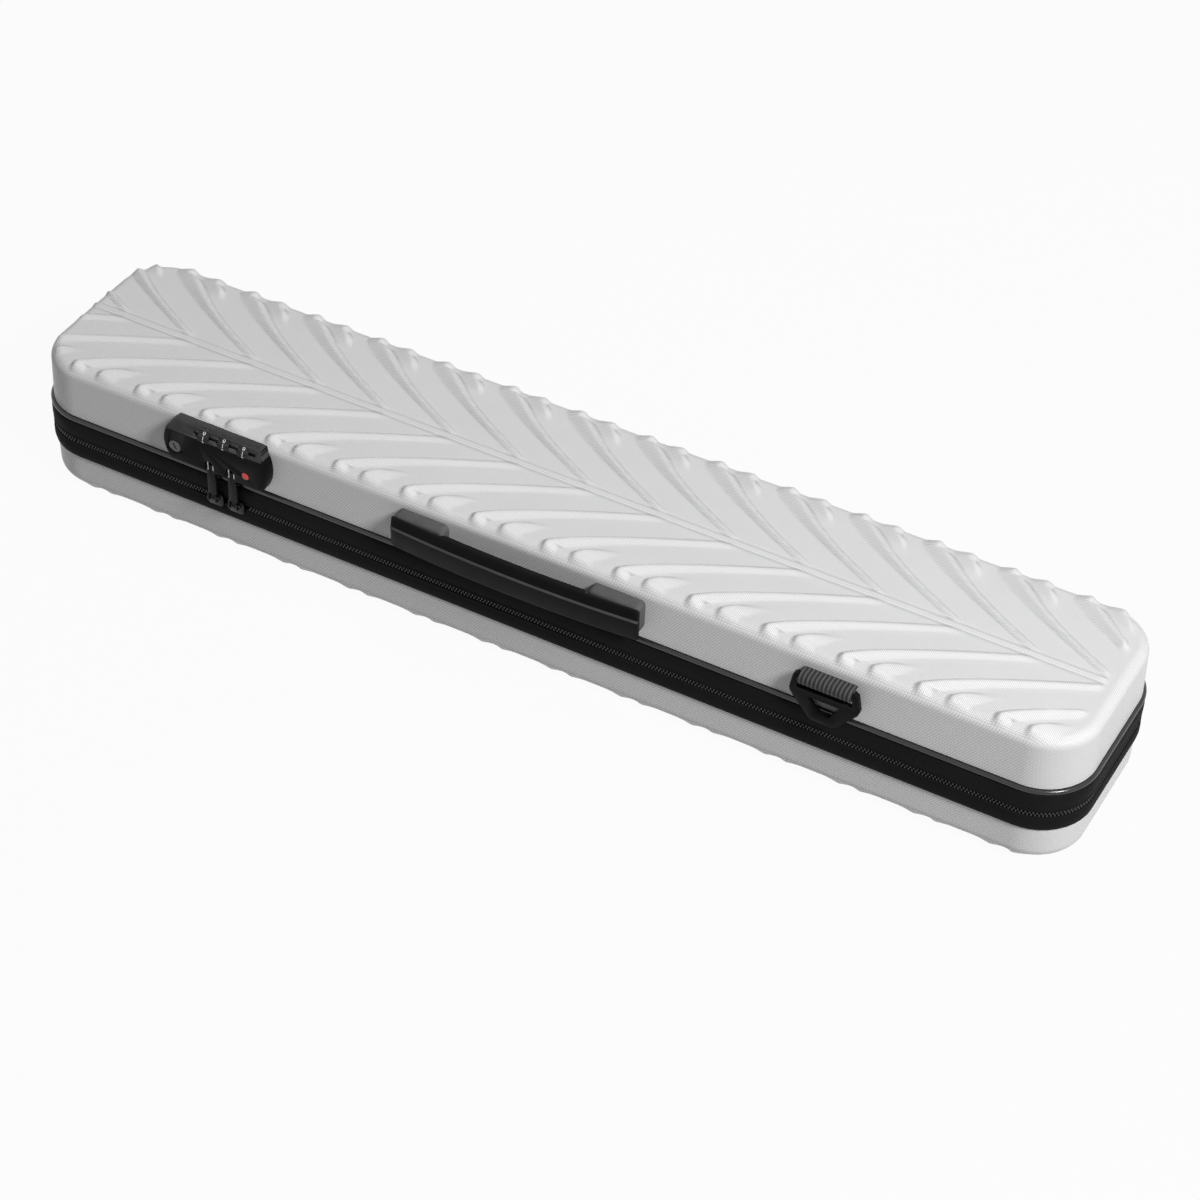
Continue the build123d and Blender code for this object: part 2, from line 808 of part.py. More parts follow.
# Two-facet bar, bowed outwards along its length
def make_grip():
    face = mount_proud + grip_gap
    top = handle_top_z
    points = [
        (face, top),
        (face + grip_top_depth, top),
        (face + grip_ridge_depth, top - grip_ridge_drop),
        (face + grip_low_depth, top - handle_height),
        (face, top - handle_height),
    ]
    half = handle_length / 2
    radius = (half**2 + grip_bow**2) / (2 * grip_bow)
    shift = grip_bow
    flat = Polyline(*[(handle_x, front_y - proud - shift, z) for proud, z in points], close=True)
    centre_y = front_y - face - shift + radius
    sweep_angle = math.degrees(math.asin(half / radius)) * 1.1
    axis = Axis((handle_x, centre_y, 0), (0, 0, 1))
    profile = make_face(flat).rotate(axis, -sweep_angle)
    grip = revolve(profile, axis=axis, revolution_arc=2 * sweep_angle)
    outline = Rectangle(handle_length, handle_height)
    outline = chamfer(outline.vertices(), grip_end_bevel)
    window = front_prism(outline, handle_x, top - handle_height / 2, 0, 40)
    grip = grip & window
    for x in mount_places():
        grip += leg_block(x, -leg_reach, face + 2.5, 0)
        grip -= stop_groove(x)
    return grip


# Groove round a leg's inner end that the stop clip snaps into
def stop_groove(x):
    back = -leg_reach + stop_lip
    front = back + stop_plate_thick + fit_gap
    return leg_block(x, back, front, 1) - leg_block(x, back, front, -stop_groove_depth)


def make_guide_plate(x):
    half = mount_length / 2
    low = guide_top_z - guide_plate_height
    plate = front_block(x - half, x + half, guide_back, guide_back + plate_thick, low, guide_top_z)
    return plate - leg_block(x, -20, 10, leg_gap)


# Clip round the groove near a leg's inner end, open towards the floor of the lid
def make_stop_clip(x):
    half = stop_plate_length / 2
    back = -leg_reach + stop_lip + half_gap
    low = leg_z - stop_plate_height / 2
    clip = front_block(x - half, x + half, back, back + stop_plate_thick, low, low + stop_plate_height)
    neck = leg_block(x, back - 1, back + stop_plate_thick + 1, half_gap - stop_groove_depth)
    mouth = neck.bounding_box()
    neck += block((mouth.min.X, mouth.min.Y, low - 1), (mouth.max.X, mouth.max.Y, leg_z))
    return clip - neck


# Strap ring

def make_webbing():
    radius = webbing_radius + webbing_thick
    x_low = ring_x - webbing_width / 2
    x_high = ring_x + webbing_width / 2
    axis_y = front_y - ring_axis_proud
    back = wall_back(ring_axis_z) - fit_gap * 2
    loop = bar_x(x_low, x_high, axis_y, ring_axis_z, radius)
    loop += front_block(x_low, x_high, back - 1, ring_axis_proud, ring_axis_z - radius, ring_axis_z + radius)
    inner = bar_x(x_low - 1, x_high + 1, axis_y, ring_axis_z, webbing_radius)
    low = ring_axis_z - webbing_radius
    inner += front_block(x_low - 1, x_high + 1, back, ring_axis_proud, low, low + 2 * webbing_radius)
    half = webbing_block_height / 2
    tail_low = back - webbing_block_depth
    tail = front_block(x_low, x_high, tail_low, back, ring_axis_z - half, ring_axis_z + half)
    return loop - inner + tail


def webbing_tail_back():
    return wall_back(ring_axis_z) - fit_gap * 2 - webbing_block_depth


def make_anchor_plate():
    back = webbing_tail_back() - half_gap
    half = anchor_length / 2
    low = ring_axis_z - anchor_height / 2
    plate = front_block(ring_x - half, ring_x + half, back - plate_thick, back, low, low + anchor_height)
    return plate


def make_ring():
    outline = Polygon(
        (-ring_top_half, ring_shoulder),
        (ring_top_half, ring_shoulder),
        (ring_wide_half, -ring_wide_drop),
        (ring_low_half, -ring_low_drop),
        (-ring_low_half, -ring_low_drop),
        (-ring_wide_half, -ring_wide_drop),
        align=None,
    )
    outline = chamfer(outline.vertices(), ring_corner_flat)
    slot_half = webbing_width / 2 + ring_bar_room
    slot = Polygon(
        (-slot_half, ring_shoulder + 5),
        (slot_half, ring_shoulder + 5),
        (slot_half, -ring_slot_low),
        (-slot_half, -ring_slot_low),
        align=None,
    )
    eye = Polygon(
        (-ring_eye_top_half, -ring_eye_top),
        (ring_eye_top_half, -ring_eye_top),
        (ring_eye_low_half, -ring_eye_low),
        (-ring_eye_low_half, -ring_eye_low),
        align=None,
    )
    low = ring_axis_proud - ring_thick / 2
    ring = front_prism(outline - slot - eye, ring_x, ring_axis_z, low, low + ring_thick)
    axis_y = front_y - ring_axis_proud
    return ring + bar_x(ring_x - slot_half - 1, ring_x + slot_half + 1, axis_y, ring_axis_z, ring_bar_radius)


parts = {
    "lower_shell": make_lower_shell(),
    "upper_shell": make_upper_shell(),
    "lower_band": on_base(band_half(lower_band_height, beaded=False)),
    "upper_band": on_lid(band_half(upper_band_height, beaded=True)),
    "upper_piping": on_lid(piping_half(upper_band_height)),
    "hinge_leaf_lower": on_base(hinge_half()),
    "hinge_leaf_upper": on_lid(hinge_half()),
    "lower_foam": make_lower_foam(),
    "upper_foam": make_upper_foam(),
    "holding_straps": together(make_straps()),
    "lock_body": make_lock_body(),
    "dial_axle": make_dial_axle(),
    "key_cylinder": make_key_cylinder(),
    "lock_dot": make_dot(),
    "lock_plate": make_lock_plate(),
    "zip_slider_left": make_slider(slider_x[0]),
    "zip_slider_right": make_slider(slider_x[1]),
    "pull_pins": together([make_pull_pin(x) for x in slider_x]),
    "zip_pull_left": make_pull(slider_x[0]),
    "zip_pull_right": make_pull(slider_x[1]),
    "grip_mount_left": make_mount(mount_places()[0]),
    "grip_mount_right": make_mount(mount_places()[1]),
    "grip": make_grip(),
    "grip_guide_plates": together([make_guide_plate(x) for x in mount_places()]),
    "grip_stop_clips": together([make_stop_clip(x) for x in mount_places()]),
    "strap_webbing": make_webbing(),
    "strap_anchor_plate": make_anchor_plate(),
    "strap_ring": make_ring(),
}
for number, place in enumerate(dial_places(), start=1):
    parts[f"lock_dial_{number}"] = make_dial(place)

os.makedirs("parts", exist_ok=True)
for name, shape in parts.items():
    export_step(shape, f"parts/{name}.step")
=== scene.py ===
import math

import bmesh
import bpy
import numpy as np
from mathutils import Matrix, Vector


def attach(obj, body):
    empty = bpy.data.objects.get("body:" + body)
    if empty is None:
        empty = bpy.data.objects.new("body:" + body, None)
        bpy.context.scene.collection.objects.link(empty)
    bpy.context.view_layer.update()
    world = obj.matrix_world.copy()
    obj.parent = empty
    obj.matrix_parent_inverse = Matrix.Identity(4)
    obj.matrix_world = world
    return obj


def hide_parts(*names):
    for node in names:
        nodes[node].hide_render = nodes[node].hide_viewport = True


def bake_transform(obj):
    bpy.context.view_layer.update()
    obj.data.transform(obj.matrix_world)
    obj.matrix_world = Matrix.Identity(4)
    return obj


# Hard pool cue case with leaf ribs. Lengths are millimetres and become metres when a
# piece is finished. "Proud" is the distance out from the front of the shell at its seam.

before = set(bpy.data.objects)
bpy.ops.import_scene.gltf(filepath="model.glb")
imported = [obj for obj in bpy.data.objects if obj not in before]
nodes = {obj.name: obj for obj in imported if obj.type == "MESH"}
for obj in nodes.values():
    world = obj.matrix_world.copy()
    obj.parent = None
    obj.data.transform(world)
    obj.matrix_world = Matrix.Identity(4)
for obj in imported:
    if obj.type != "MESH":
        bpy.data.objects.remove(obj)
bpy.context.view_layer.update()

MM = 0.001

# Case
half_length = 418.0
half_width = 77.0
corner_radius = 39.0
lean = math.tan(math.radians(1.5))
lower_seam_z = 34.0
upper_seam_z = 71.5
zip_z = 49.0
upper_height = 41.7
lower_height = 30.2
upper_edge_radius = 8.0
lower_edge_radius = 10.0
shell_wall = 2.2
front_y = -half_width

# Leaf relief
rib_first_x = -384.5
rib_pitch = 56.7
rib_run = 115.0
rib_bend = 1.2
rib_edge = 66.0
minor_offset = 23.0
minor_run = 37.0
minor_start = 49.0
minor_reach = 17.5
minor_height = 3.3
upper_midrib = 1.7
lower_midrib = 2.6
relief_top = 3.78
relief_end_x = 406.0
relief_end_fade = 7.0
front_turn = 0.62
rear_turn = 1.0
cell_size = 1.3
wall_cell = 4.5

# Plain skin behind the lock, the handle and the strap ring: low x, high x and top z
plain_areas = ((-293.5, -197.5, 111.5), (-99, 101, 104.5), (212, 267, 104.5))
plain_front_y = -50

# Lock and zip sliders
lock_proud = 10.0
lock_end_x = -221.0
lock_end_scale = 0.76
dial_places = (-257.3, -240.3, -223.3)
dial_z = 104.0
dial_proud = 3.2
dial_radius = 6.5
dial_width = 8.9
dial_start = math.radians(33.0)
button_place = (-221.4, front_y - lock_proud + 0.25, 87.0)
button_radius = 3.1
slider_places = (-253.4, -235.3)
pull_bare_z = (77.2, 78.6)
pull_bar = 1.9

# Handle
handle_x = 1.0
grip_half_length = 98.8
grip_gap = 6.0
grip_bow = 4.0
mount_places = (-77.0, 79.0)
mount_proud = 9.2

# Strap ring and its webbing
ring_x = 239.5
ring_z = 97.0
ring_proud = 6.0
webbing_half = 19.7
fold_outer = 4.75
fold_inner = 3.05
cord_pitch = 3.05

# Beds: the channels' ends, and the pockets behind the lid's fittings
channel_end_x = 386
lid_pockets = ((-281, -204), (-99, 101), (208.5, 270.5))
pocket_y = -52.5
pocket_lip = 22.5

# Surroundings: the world's strength on the object, and how white the floor looks
world_light = 0.15
floor_white = 0.95


# Shader building

def place_node(tree, kind, **values):
    node = tree.nodes.new(kind)
    for key, value in values.items():
        setattr(node, key, value)
    return node


def join(tree, source, target):
    tree.links.new(source, target)


# Sets a socket to a number, or joins it to another node's output
def feed(tree, value, socket):
    if isinstance(value, (int, float)):
        socket.default_value = value
    else:
        join(tree, value, socket)


def math_node(tree, operation, *values, clamp=False):
    node = place_node(tree, "ShaderNodeMath", operation=operation, use_clamp=clamp)
    for value, socket in zip(values, node.inputs):
        feed(tree, value, socket)
    return node.outputs[0]


def axes(tree, vector):
    node = place_node(tree, "ShaderNodeSeparateXYZ")
    join(tree, vector, node.inputs[0])
    return node.outputs


def noise(tree, vector, **values):
    node = place_node(tree, "ShaderNodeTexNoise")
    join(tree, vector, node.inputs["Vector"])
    for label, value in values.items():
        feed(tree, value, node.inputs[label])
    return node.outputs[0]


# 0 where the value is at low, 1 where it is at high, and in between on the way
def ramp(tree, value, low, high):
    node = place_node(tree, "ShaderNodeMapRange")
    node.inputs["From Min"].default_value = low
    node.inputs["From Max"].default_value = high
    join(tree, value, node.inputs["Value"])
    return node.outputs[0]


# 1 for the rays that see the surroundings as white
def seen_rays(tree):
    path = place_node(tree, "ShaderNodeLightPath")
    seen = math_node(tree, "MAXIMUM", path.outputs["Is Camera Ray"], path.outputs["Is Glossy Ray"])
    return math_node(tree, "MAXIMUM", seen, path.outputs["Is Transmission Ray"])


def group_tree(name, inputs, outputs):
    tree = bpy.data.node_groups.new(name, "ShaderNodeTree")
    for label, kind, value in inputs:
        socket = tree.interface.new_socket(name=label, in_out="INPUT", socket_type=kind)
        if value is not None:
            socket.default_value = value
    for label, kind in outputs:
        tree.interface.new_socket(name=label, in_out="OUTPUT", socket_type=kind)
    entry = place_node(tree, "NodeGroupInput")
    leave = place_node(tree, "NodeGroupOutput")
    return tree, entry, leave


# Fine woven grain: twill lines on upright walls, small diamonds on level faces
def build_woven_grain():
    inputs = [("Vector", "NodeSocketVector", None), ("Pitch", "NodeSocketFloat", 0.0024)]
    tree, entry, leave = group_tree("woven_grain", inputs, [("Height", "NodeSocketFloat")])
    twill_slope = -0.8
    cross_slope = 1.1
    x, y, z = axes(tree, entry.outputs["Vector"])
    turns = math_node(tree, "DIVIDE", math.tau, entry.outputs["Pitch"])
    side = math_node(tree, "SIGN", x)
    depth = math_node(tree, "SUBTRACT", half_width * MM, math_node(tree, "ABSOLUTE", y))
    around = math_node(tree, "MULTIPLY_ADD", side, depth, x)
    twill = math_node(tree, "MULTIPLY_ADD", z, twill_slope, around)
    wall = math_node(tree, "SINE", math_node(tree, "MULTIPLY", twill, turns))
    cross = math_node(tree, "MULTIPLY_ADD", z, cross_slope, around)
    cross = math_node(tree, "SINE", math_node(tree, "MULTIPLY", cross, turns))
    wall = math_node(tree, "MULTIPLY", wall, math_node(tree, "MULTIPLY_ADD", cross, 0.35, 0.55))
    across = math_node(tree, "ADD", x, y)
    along = math_node(tree, "SUBTRACT", x, y)
    one = math_node(tree, "SINE", math_node(tree, "MULTIPLY", across, turns))
    two = math_node(tree, "SINE", math_node(tree, "MULTIPLY", along, turns))
    level = math_node(tree, "MULTIPLY", math_node(tree, "MULTIPLY", one, two), 1.5)
    geometry = place_node(tree, "ShaderNodeNewGeometry")
    facing = axes(tree, geometry.outputs["True Normal"])
    levelness = ramp(tree, math_node(tree, "ABSOLUTE", facing["Z"]), 0.35, 0.75)
    pick = place_node(tree, "ShaderNodeMix", data_type="FLOAT")
    join(tree, levelness, pick.inputs[0])
    join(tree, wall, pick.inputs[2])
    join(tree, level, pick.inputs[3])
    height = math_node(tree, "MULTIPLY_ADD", pick.outputs[0], 0.5, 0.5)
    join(tree, height, leave.inputs["Height"])
    return tree


# Plain weave for cloth that runs round the case's walls
def build_wall_weave():
    inputs = [("Vector", "NodeSocketVector", None), ("Pitch", "NodeSocketFloat", 0.0012)]
    outputs = [("Height", "NodeSocketFloat"), ("Thread", "NodeSocketFloat")]
    tree, entry, leave = group_tree("wall_weave", inputs, outputs)
    x, y, z = axes(tree, entry.outputs["Vector"])
    turns = math_node(tree, "DIVIDE", math.tau, entry.outputs["Pitch"])
    flat_x = math_node(tree, "ABSOLUTE", x)
    flat_y = math_node(tree, "ABSOLUTE", y)
    around = math_node(tree, "SUBTRACT", flat_x, flat_y)
    warp = math_node(tree, "SINE", math_node(tree, "MULTIPLY", around, turns))
    weft = math_node(tree, "SINE", math_node(tree, "MULTIPLY", z, turns))
    crossing = math_node(tree, "MULTIPLY", warp, weft)
    height = math_node(tree, "MULTIPLY_ADD", crossing, 0.5, 0.5)
    fuzz = noise(tree, entry.outputs["Vector"], Scale=900.0, Detail=2.0)
    uneven = math_node(tree, "MULTIPLY", fuzz, height)
    join(tree, height, leave.inputs["Height"])
    join(tree, uneven, leave.inputs["Thread"])
    return tree


# Soft mottling that breaks up an even finish
def build_mottle():
    inputs = [("Vector", "NodeSocketVector", None), ("Scale", "NodeSocketFloat", 60.0)]
    tree, entry, leave = group_tree("mottle", inputs, [("Mask", "NodeSocketFloat")])
    vector = entry.outputs["Vector"]
    cloud = noise(tree, vector, Scale=entry.outputs["Scale"], Detail=5.0, Roughness=0.6)
    join(tree, ramp(tree, cloud, 0.3, 0.7), leave.inputs["Mask"])
    return tree


# Lighter convex edges on hard mouldings: partly scuffing from use, partly a painted highlight
def build_edge_wear():
    inputs = [("Vector", "NodeSocketVector", None), ("Amount", "NodeSocketFloat", 1.0)]
    tree, entry, leave = group_tree("edge_wear_and_highlight", inputs, [("Mask", "NodeSocketFloat")])
    geometry = place_node(tree, "ShaderNodeNewGeometry")
    convex_edge = ramp(tree, geometry.outputs["Pointiness"], 0.53, 0.62)
    patches = noise(tree, entry.outputs["Vector"], Scale=220.0)
    broken = math_node(tree, "MULTIPLY", convex_edge, patches)
    mask = math_node(tree, "MULTIPLY", broken, entry.outputs["Amount"], clamp=True)
    join(tree, mask, leave.inputs["Mask"])
    return tree


# Painted shade: darker colour in the hollow of each rib crease, where shade falls
def build_crease_dust():
    inputs = [("Vector", "NodeSocketVector", None)]
    tree, entry, leave = group_tree("painted_crease_shade", inputs, [("Mask", "NodeSocketFloat")])
    geometry = place_node(tree, "ShaderNodeNewGeometry")
    hollow = ramp(tree, geometry.outputs["Pointiness"], 0.488, 0.445)
    patches = noise(tree, entry.outputs["Vector"], Scale=300.0)
    uneven = math_node(tree, "MULTIPLY_ADD", patches, 0.5, 0.5)
    mask = math_node(tree, "MULTIPLY", hollow, uneven, clamp=True)
    join(tree, mask, leave.inputs["Mask"])
    return tree


woven_grain = build_woven_grain()
wall_weave = build_wall_weave()
mottle = build_mottle()
edge_wear_and_highlight = build_edge_wear()
painted_crease_shade = build_crease_dust()


class Finish:
    """A material under construction, with its shader and Object coordinates at hand."""

    def __init__(self, name, roughness, metallic=0.0, **sockets):
        self.material = bpy.data.materials.new(name)
        self.material.use_nodes = True
        self.tree = self.material.node_tree
        self.shader = self.tree.nodes["Principled BSDF"]
        self.shader.inputs["Roughness"].default_value = roughness
        self.shader.inputs["Metallic"].default_value = metallic
        for label, value in sockets.items():
            self.shader.inputs[label.replace("_", " ")].default_value = value
        self.place = place_node(self.tree, "ShaderNodeTexCoord").outputs["Object"]

    # A node group on this material, as its first output
    def effect(self, group, **values):
        node = place_node(self.tree, "ShaderNodeGroup", node_tree=group)
        join(self.tree, self.place, node.inputs["Vector"])
        for label, value in values.items():
            node.inputs[label].default_value = value
        return node.outputs[0]

    def blend(self, mask, low, high):
        mix = place_node(self.tree, "ShaderNodeMix", data_type="RGBA")
        for socket, value in ((mix.inputs[6], low), (mix.inputs[7], high)):
            if isinstance(value, tuple):
                socket.default_value = (*value, 1.0)
            else:
                join(self.tree, value, socket)
        join(self.tree, mask, mix.inputs[0])
        return mix.outputs[2]

    def colour(self, socket):
        join(self.tree, socket, self.shader.inputs["Base Color"])

    def vary_roughness(self, mask, low, high):
        spread = place_node(self.tree, "ShaderNodeMapRange")
        spread.inputs["To Min"].default_value = low
        spread.inputs["To Max"].default_value = high
        join(self.tree, mask, spread.inputs["Value"])
        join(self.tree, spread.outputs[0], self.shader.inputs["Roughness"])

    def bump(self, height, distance, strength):
        bump = place_node(self.tree, "ShaderNodeBump")
        bump.inputs["Distance"].default_value = distance
        bump.inputs["Strength"].default_value = strength
        join(self.tree, height, bump.inputs["Height"])
        join(self.tree, bump.outputs[0], self.shader.inputs["Normal"])


# Materials

def silver_finish():
    finish = Finish("silver_shell", 0.38, Specular_IOR_Level=0.35)
    grain = finish.effect(woven_grain, Pitch=0.0022)
    cloud = finish.effect(mottle, Scale=25.0)
    crease_shade = finish.effect(painted_crease_shade)
    base = finish.blend(cloud, (0.45, 0.45, 0.455), (0.49, 0.49, 0.495))
    base = finish.blend(grain, base, (0.75, 0.75, 0.755))
    # Painted shade in each rib crease darkens the silver towards 0.2
    finish.colour(finish.blend(crease_shade, base, (0.2, 0.2, 0.205)))
    finish.vary_roughness(cloud, 0.34, 0.42)
    finish.bump(grain, 0.0002, 0.8)
    return finish.material


def band_finish():
    finish = Finish("band_cloth", 0.7, Specular_IOR_Level=0.06)
    weave = finish.effect(wall_weave, Pitch=0.0016)
    cloud = finish.effect(mottle, Scale=40.0)
    dark = finish.blend(cloud, (0.004, 0.004, 0.0045), (0.007, 0.007, 0.0075))
    finish.colour(finish.blend(weave.node.outputs["Thread"], dark, (0.012, 0.012, 0.013)))
    finish.bump(weave, 0.0002, 0.6)
    return finish.material


# Moulded black plastic whose convex edges are painted lighter by the given amount, partly as
# scuffing and partly as a painted highlight
def moulded_finish(name, dark, light, roughness, wear_and_highlight_amount):
    finish = Finish(name, roughness, Specular_IOR_Level=0.05)
    cloud = finish.effect(mottle, Scale=90.0)
    wear_and_highlight_mask = finish.effect(edge_wear_and_highlight, Amount=wear_and_highlight_amount)
    wear_and_highlight_tone = tuple(min(1.0, value * 2.2 + 0.03) for value in light)
    base = finish.blend(cloud, dark, light)
    finish.colour(finish.blend(wear_and_highlight_mask, base, wear_and_highlight_tone))
    finish.vary_roughness(cloud, roughness - 0.05, roughness + 0.07)
    finish.bump(noise(finish.tree, finish.place, Scale=2600.0), 0.00008, 0.5)
    return finish.material


def metal_finish(name, dark, light, roughness):
    finish = Finish(name, roughness, metallic=1.0)
    stretch = place_node(finish.tree, "ShaderNodeMapping")
    stretch.inputs["Scale"].default_value = (40.0, 900.0, 900.0)
    join(finish.tree, finish.place, stretch.inputs["Vector"])
    brushed = noise(finish.tree, stretch.outputs[0], Scale=2.0)
    finish.colour(finish.blend(brushed, dark, light))
    finish.vary_roughness(brushed, roughness - 0.06, roughness + 0.08)
    finish.bump(brushed, 0.00004, 0.4)
    return finish.material


# Plain webbing, or webbing at the ring with cords across its length and a painted highlight along
# their crests
def webbing_finish(name, corded):
    finish = Finish(name, 0.7, Specular_IOR_Level=0.2, Sheen_Weight=0.08)
    weave = finish.effect(woven_grain, Pitch=0.0022)
    base = finish.blend(weave, (0.008, 0.008, 0.008), (0.02, 0.02, 0.021))
    if corded:
        tree = finish.tree
        x = axes(tree, finish.place)["X"]
        rate = math.pi / (cord_pitch * MM)
        steps = math_node(tree, "MULTIPLY_ADD", x, rate, -rate * ring_x * MM)
        crest = math_node(tree, "ABSOLUTE", math_node(tree, "COSINE", steps))
        crest = math_node(tree, "POWER", crest, 6.0)
        # Painted highlight: a narrow lighter line on the crests of the raised cords
        base = finish.blend(crest, base, (0.09, 0.09, 0.091))
    finish.colour(base)
    finish.bump(weave, 0.0002, 0.7)
    return finish.material


def foam_finish():
    finish = Finish("foam", 0.95, Specular_IOR_Level=0.2, Sheen_Weight=0.35, Sheen_Roughness=0.6)
    pile = noise(finish.tree, finish.place, Scale=1400.0, Detail=4.0)
    cloud = finish.effect(mottle, Scale=18.0)
    base = finish.blend(cloud, (0.012, 0.012, 0.014), (0.024, 0.024, 0.027))
    finish.colour(finish.blend(pile, base, (0.035, 0.035, 0.038)))
    finish.bump(pile, 0.0004, 0.6)
    return finish.material


# The side bars of the zip pulls' tips are bare and bright above a black coat
def pull_finish():
    finish = Finish("pull_metal", 0.3, Specular_IOR_Level=0.1)
    tree = finish.tree
    place = axes(tree, finish.place)
    tip = ramp(tree, place["Z"], pull_bare_z[0] * MM, pull_bare_z[1] * MM)
    middle = sum(slider_places) / 2 * MM
    half = (slider_places[1] - slider_places[0]) / 2 * MM
    across = math_node(tree, "ABSOLUTE", math_node(tree, "SUBTRACT", place["X"], middle))
    across = math_node(tree, "ABSOLUTE", math_node(tree, "SUBTRACT", across, half))
    side_bar = math_node(tree, "GREATER_THAN", across, pull_bar * MM)
    bare = math_node(tree, "MULTIPLY", tip, side_bar)
    cloud = finish.effect(mottle, Scale=300.0)
    coat = finish.blend(cloud, (0.006, 0.006, 0.006), (0.01, 0.01, 0.01))
    bright = finish.blend(cloud, (0.62, 0.62, 0.63), (0.78, 0.78, 0.8))
    finish.colour(finish.blend(bare, coat, bright))
    join(tree, bare, finish.shader.inputs["Metallic"])
    finish.vary_roughness(cloud, 0.22, 0.34)
    return finish.material


def plain_gloss(name, dark, light, roughness):
    finish = Finish(name, roughness, Specular_IOR_Level=0.55)
    cloud = finish.effect(mottle, Scale=120.0)
    finish.colour(finish.blend(cloud, dark, light))
    finish.vary_roughness(cloud, roughness - 0.04, roughness + 0.06)
    return finish.material


silver = silver_finish()
band_cloth = band_finish()
black = moulded_finish("lock_black", (0.003, 0.003, 0.0032), (0.005, 0.005, 0.0052), 0.34, 0.5)
grip_black = moulded_finish("grip_black", (0.003, 0.003, 0.0032), (0.005, 0.005, 0.0052), 0.42, 0.5)
# Lighter black that paints a sheen on the lock's upward faces
top_sheen_black = moulded_finish("painted_top_sheen_black", (0.035, 0.035, 0.036), (0.05, 0.05, 0.051), 0.3, 0.8)
wheel_black = moulded_finish("wheel_black", (0.012, 0.012, 0.012), (0.02, 0.02, 0.02), 0.3, 1.0)
# Lighter black that paints a highlight along the grip bar's ridge
ridge_highlight_black = moulded_finish("painted_ridge_highlight", (0.07, 0.07, 0.071), (0.1, 0.1, 0.101), 0.35, 0.5)
mount_grey = moulded_finish("mount_grey", (0.07, 0.07, 0.071), (0.09, 0.09, 0.091), 0.5, 0.3)
dark_metal = metal_finish("lock_dark_metal", (0.06, 0.06, 0.06), (0.12, 0.12, 0.12), 0.3)
steel = metal_finish("steel", (0.5, 0.5, 0.5), (0.66, 0.66, 0.66), 0.3)
slider_metal = metal_finish("slider_metal", (0.012, 0.012, 0.012), (0.035, 0.035, 0.035), 0.24)
pull_metal = pull_finish()
webbing = webbing_finish("webbing", False)
corded_webbing = webbing_finish("corded_webbing", True)
foam = foam_finish()
bead = plain_gloss("piping", (0.008, 0.008, 0.008), (0.014, 0.014, 0.014), 0.22)
zip_coil = plain_gloss("zip_coil", (0.014, 0.014, 0.015), (0.03, 0.03, 0.031), 0.4)
ivory = plain_gloss("dial_ivory", (0.80, 0.80, 0.78), (0.86, 0.86, 0.84), 0.3)
red = plain_gloss("red_dot", (0.62, 0.03, 0.02), (0.72, 0.05, 0.035), 0.3)


# Making pieces

# Turns a shape in metres into an object that rides on a body. Edges sharper than the angle
# smooth stay sharp, and extra materials are those that some faces have already been given.
def finish_metres(name, bm, material, body, smooth, outward=True, extra=()):
    if outward:
        bmesh.ops.recalc_face_normals(bm, faces=bm.faces)
    mesh = bpy.data.meshes.new(name)
    bm.to_mesh(mesh)
    bm.free()
    for finish in (material, *extra):
        mesh.materials.append(finish)
    piece = bpy.data.objects.new(name, mesh)
    bpy.context.scene.collection.objects.link(piece)
    mesh.shade_smooth()
    mesh.set_sharp_from_angle(angle=math.radians(smooth))
    if body:
        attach(piece, body)
    return piece


# The same for a shape in millimetres
def finish_piece(name, bm, material, body, smooth, outward=True, extra=()):
    bmesh.ops.scale(bm, vec=(MM, MM, MM), verts=bm.verts)
    return finish_metres(name, bm, material, body, smooth, outward, extra)


# Hides the CAD nodes that the piece stands for
def replace(piece, slot, *names):
    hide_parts(*names)


def cube(bm, low, high):
    made = bmesh.ops.create_cube(bm, size=1.0)
    middle = [(a + b) / 2 for a, b in zip(low, high)]
    size = [b - a for a, b in zip(low, high)]
    bmesh.ops.scale(bm, vec=size, verts=made["verts"])
    bmesh.ops.translate(bm, vec=middle, verts=made["verts"])


def round_edges(bm, edges, radius, segments):
    bmesh.ops.bevel(
        bm,
        geom=edges,
        offset=radius,
        offset_type="OFFSET",
        affect="EDGES",
        segments=segments,
        profile=0.5,
        material=-1,
        clamp_overlap=True,
    )


# The CAD node's own form, in metres, with its sharp edges rounded over
def softened(node, radius):
    bm = bmesh.new()
    bm.from_mesh(nodes[node].data)
    bmesh.ops.remove_doubles(bm, verts=bm.verts, dist=0.000002)
    bmesh.ops.dissolve_limit(bm, angle_limit=math.radians(1.0), verts=bm.verts, edges=bm.edges)
    sharp_from = math.radians(25.0)
    sharp = [e for e in bm.edges if len(e.link_faces) == 2 and e.calc_face_angle(0) > sharp_from]
    round_edges(bm, sharp, radius * MM, 2)
    return bm


# Shells

# Wall height, arc of the rounded edge, and half sizes of the sheet that folds into a form
def sheet_size(height, edge_radius, inset):
    wall_top = height - edge_radius
    arc = math.pi / 2 * edge_radius
    edge_in = wall_top * lean + edge_radius
    reach_x = half_length - inset - edge_in + arc + wall_top
    reach_y = half_width - inset - edge_in + arc + wall_top
    return wall_top, arc, reach_x, reach_y


# Positions along one side of the flat sheet: coarse on the wall, fine on top
def spacing(limit, wall_run, fine):
    coarse = max(2, round(wall_run / wall_cell))
    wall = np.linspace(0, wall_run, coarse + 1)[:-1]
    count = round(2 * (limit - wall_run) / fine)
    top = np.linspace(-limit + wall_run, limit - wall_run, count + 1)
    return np.concatenate([-limit + wall, top, (limit - wall)[::-1]])


def smooth_step(value):
    value = np.clip(value, 0, 1)
    return value * value * (3 - 2 * value)


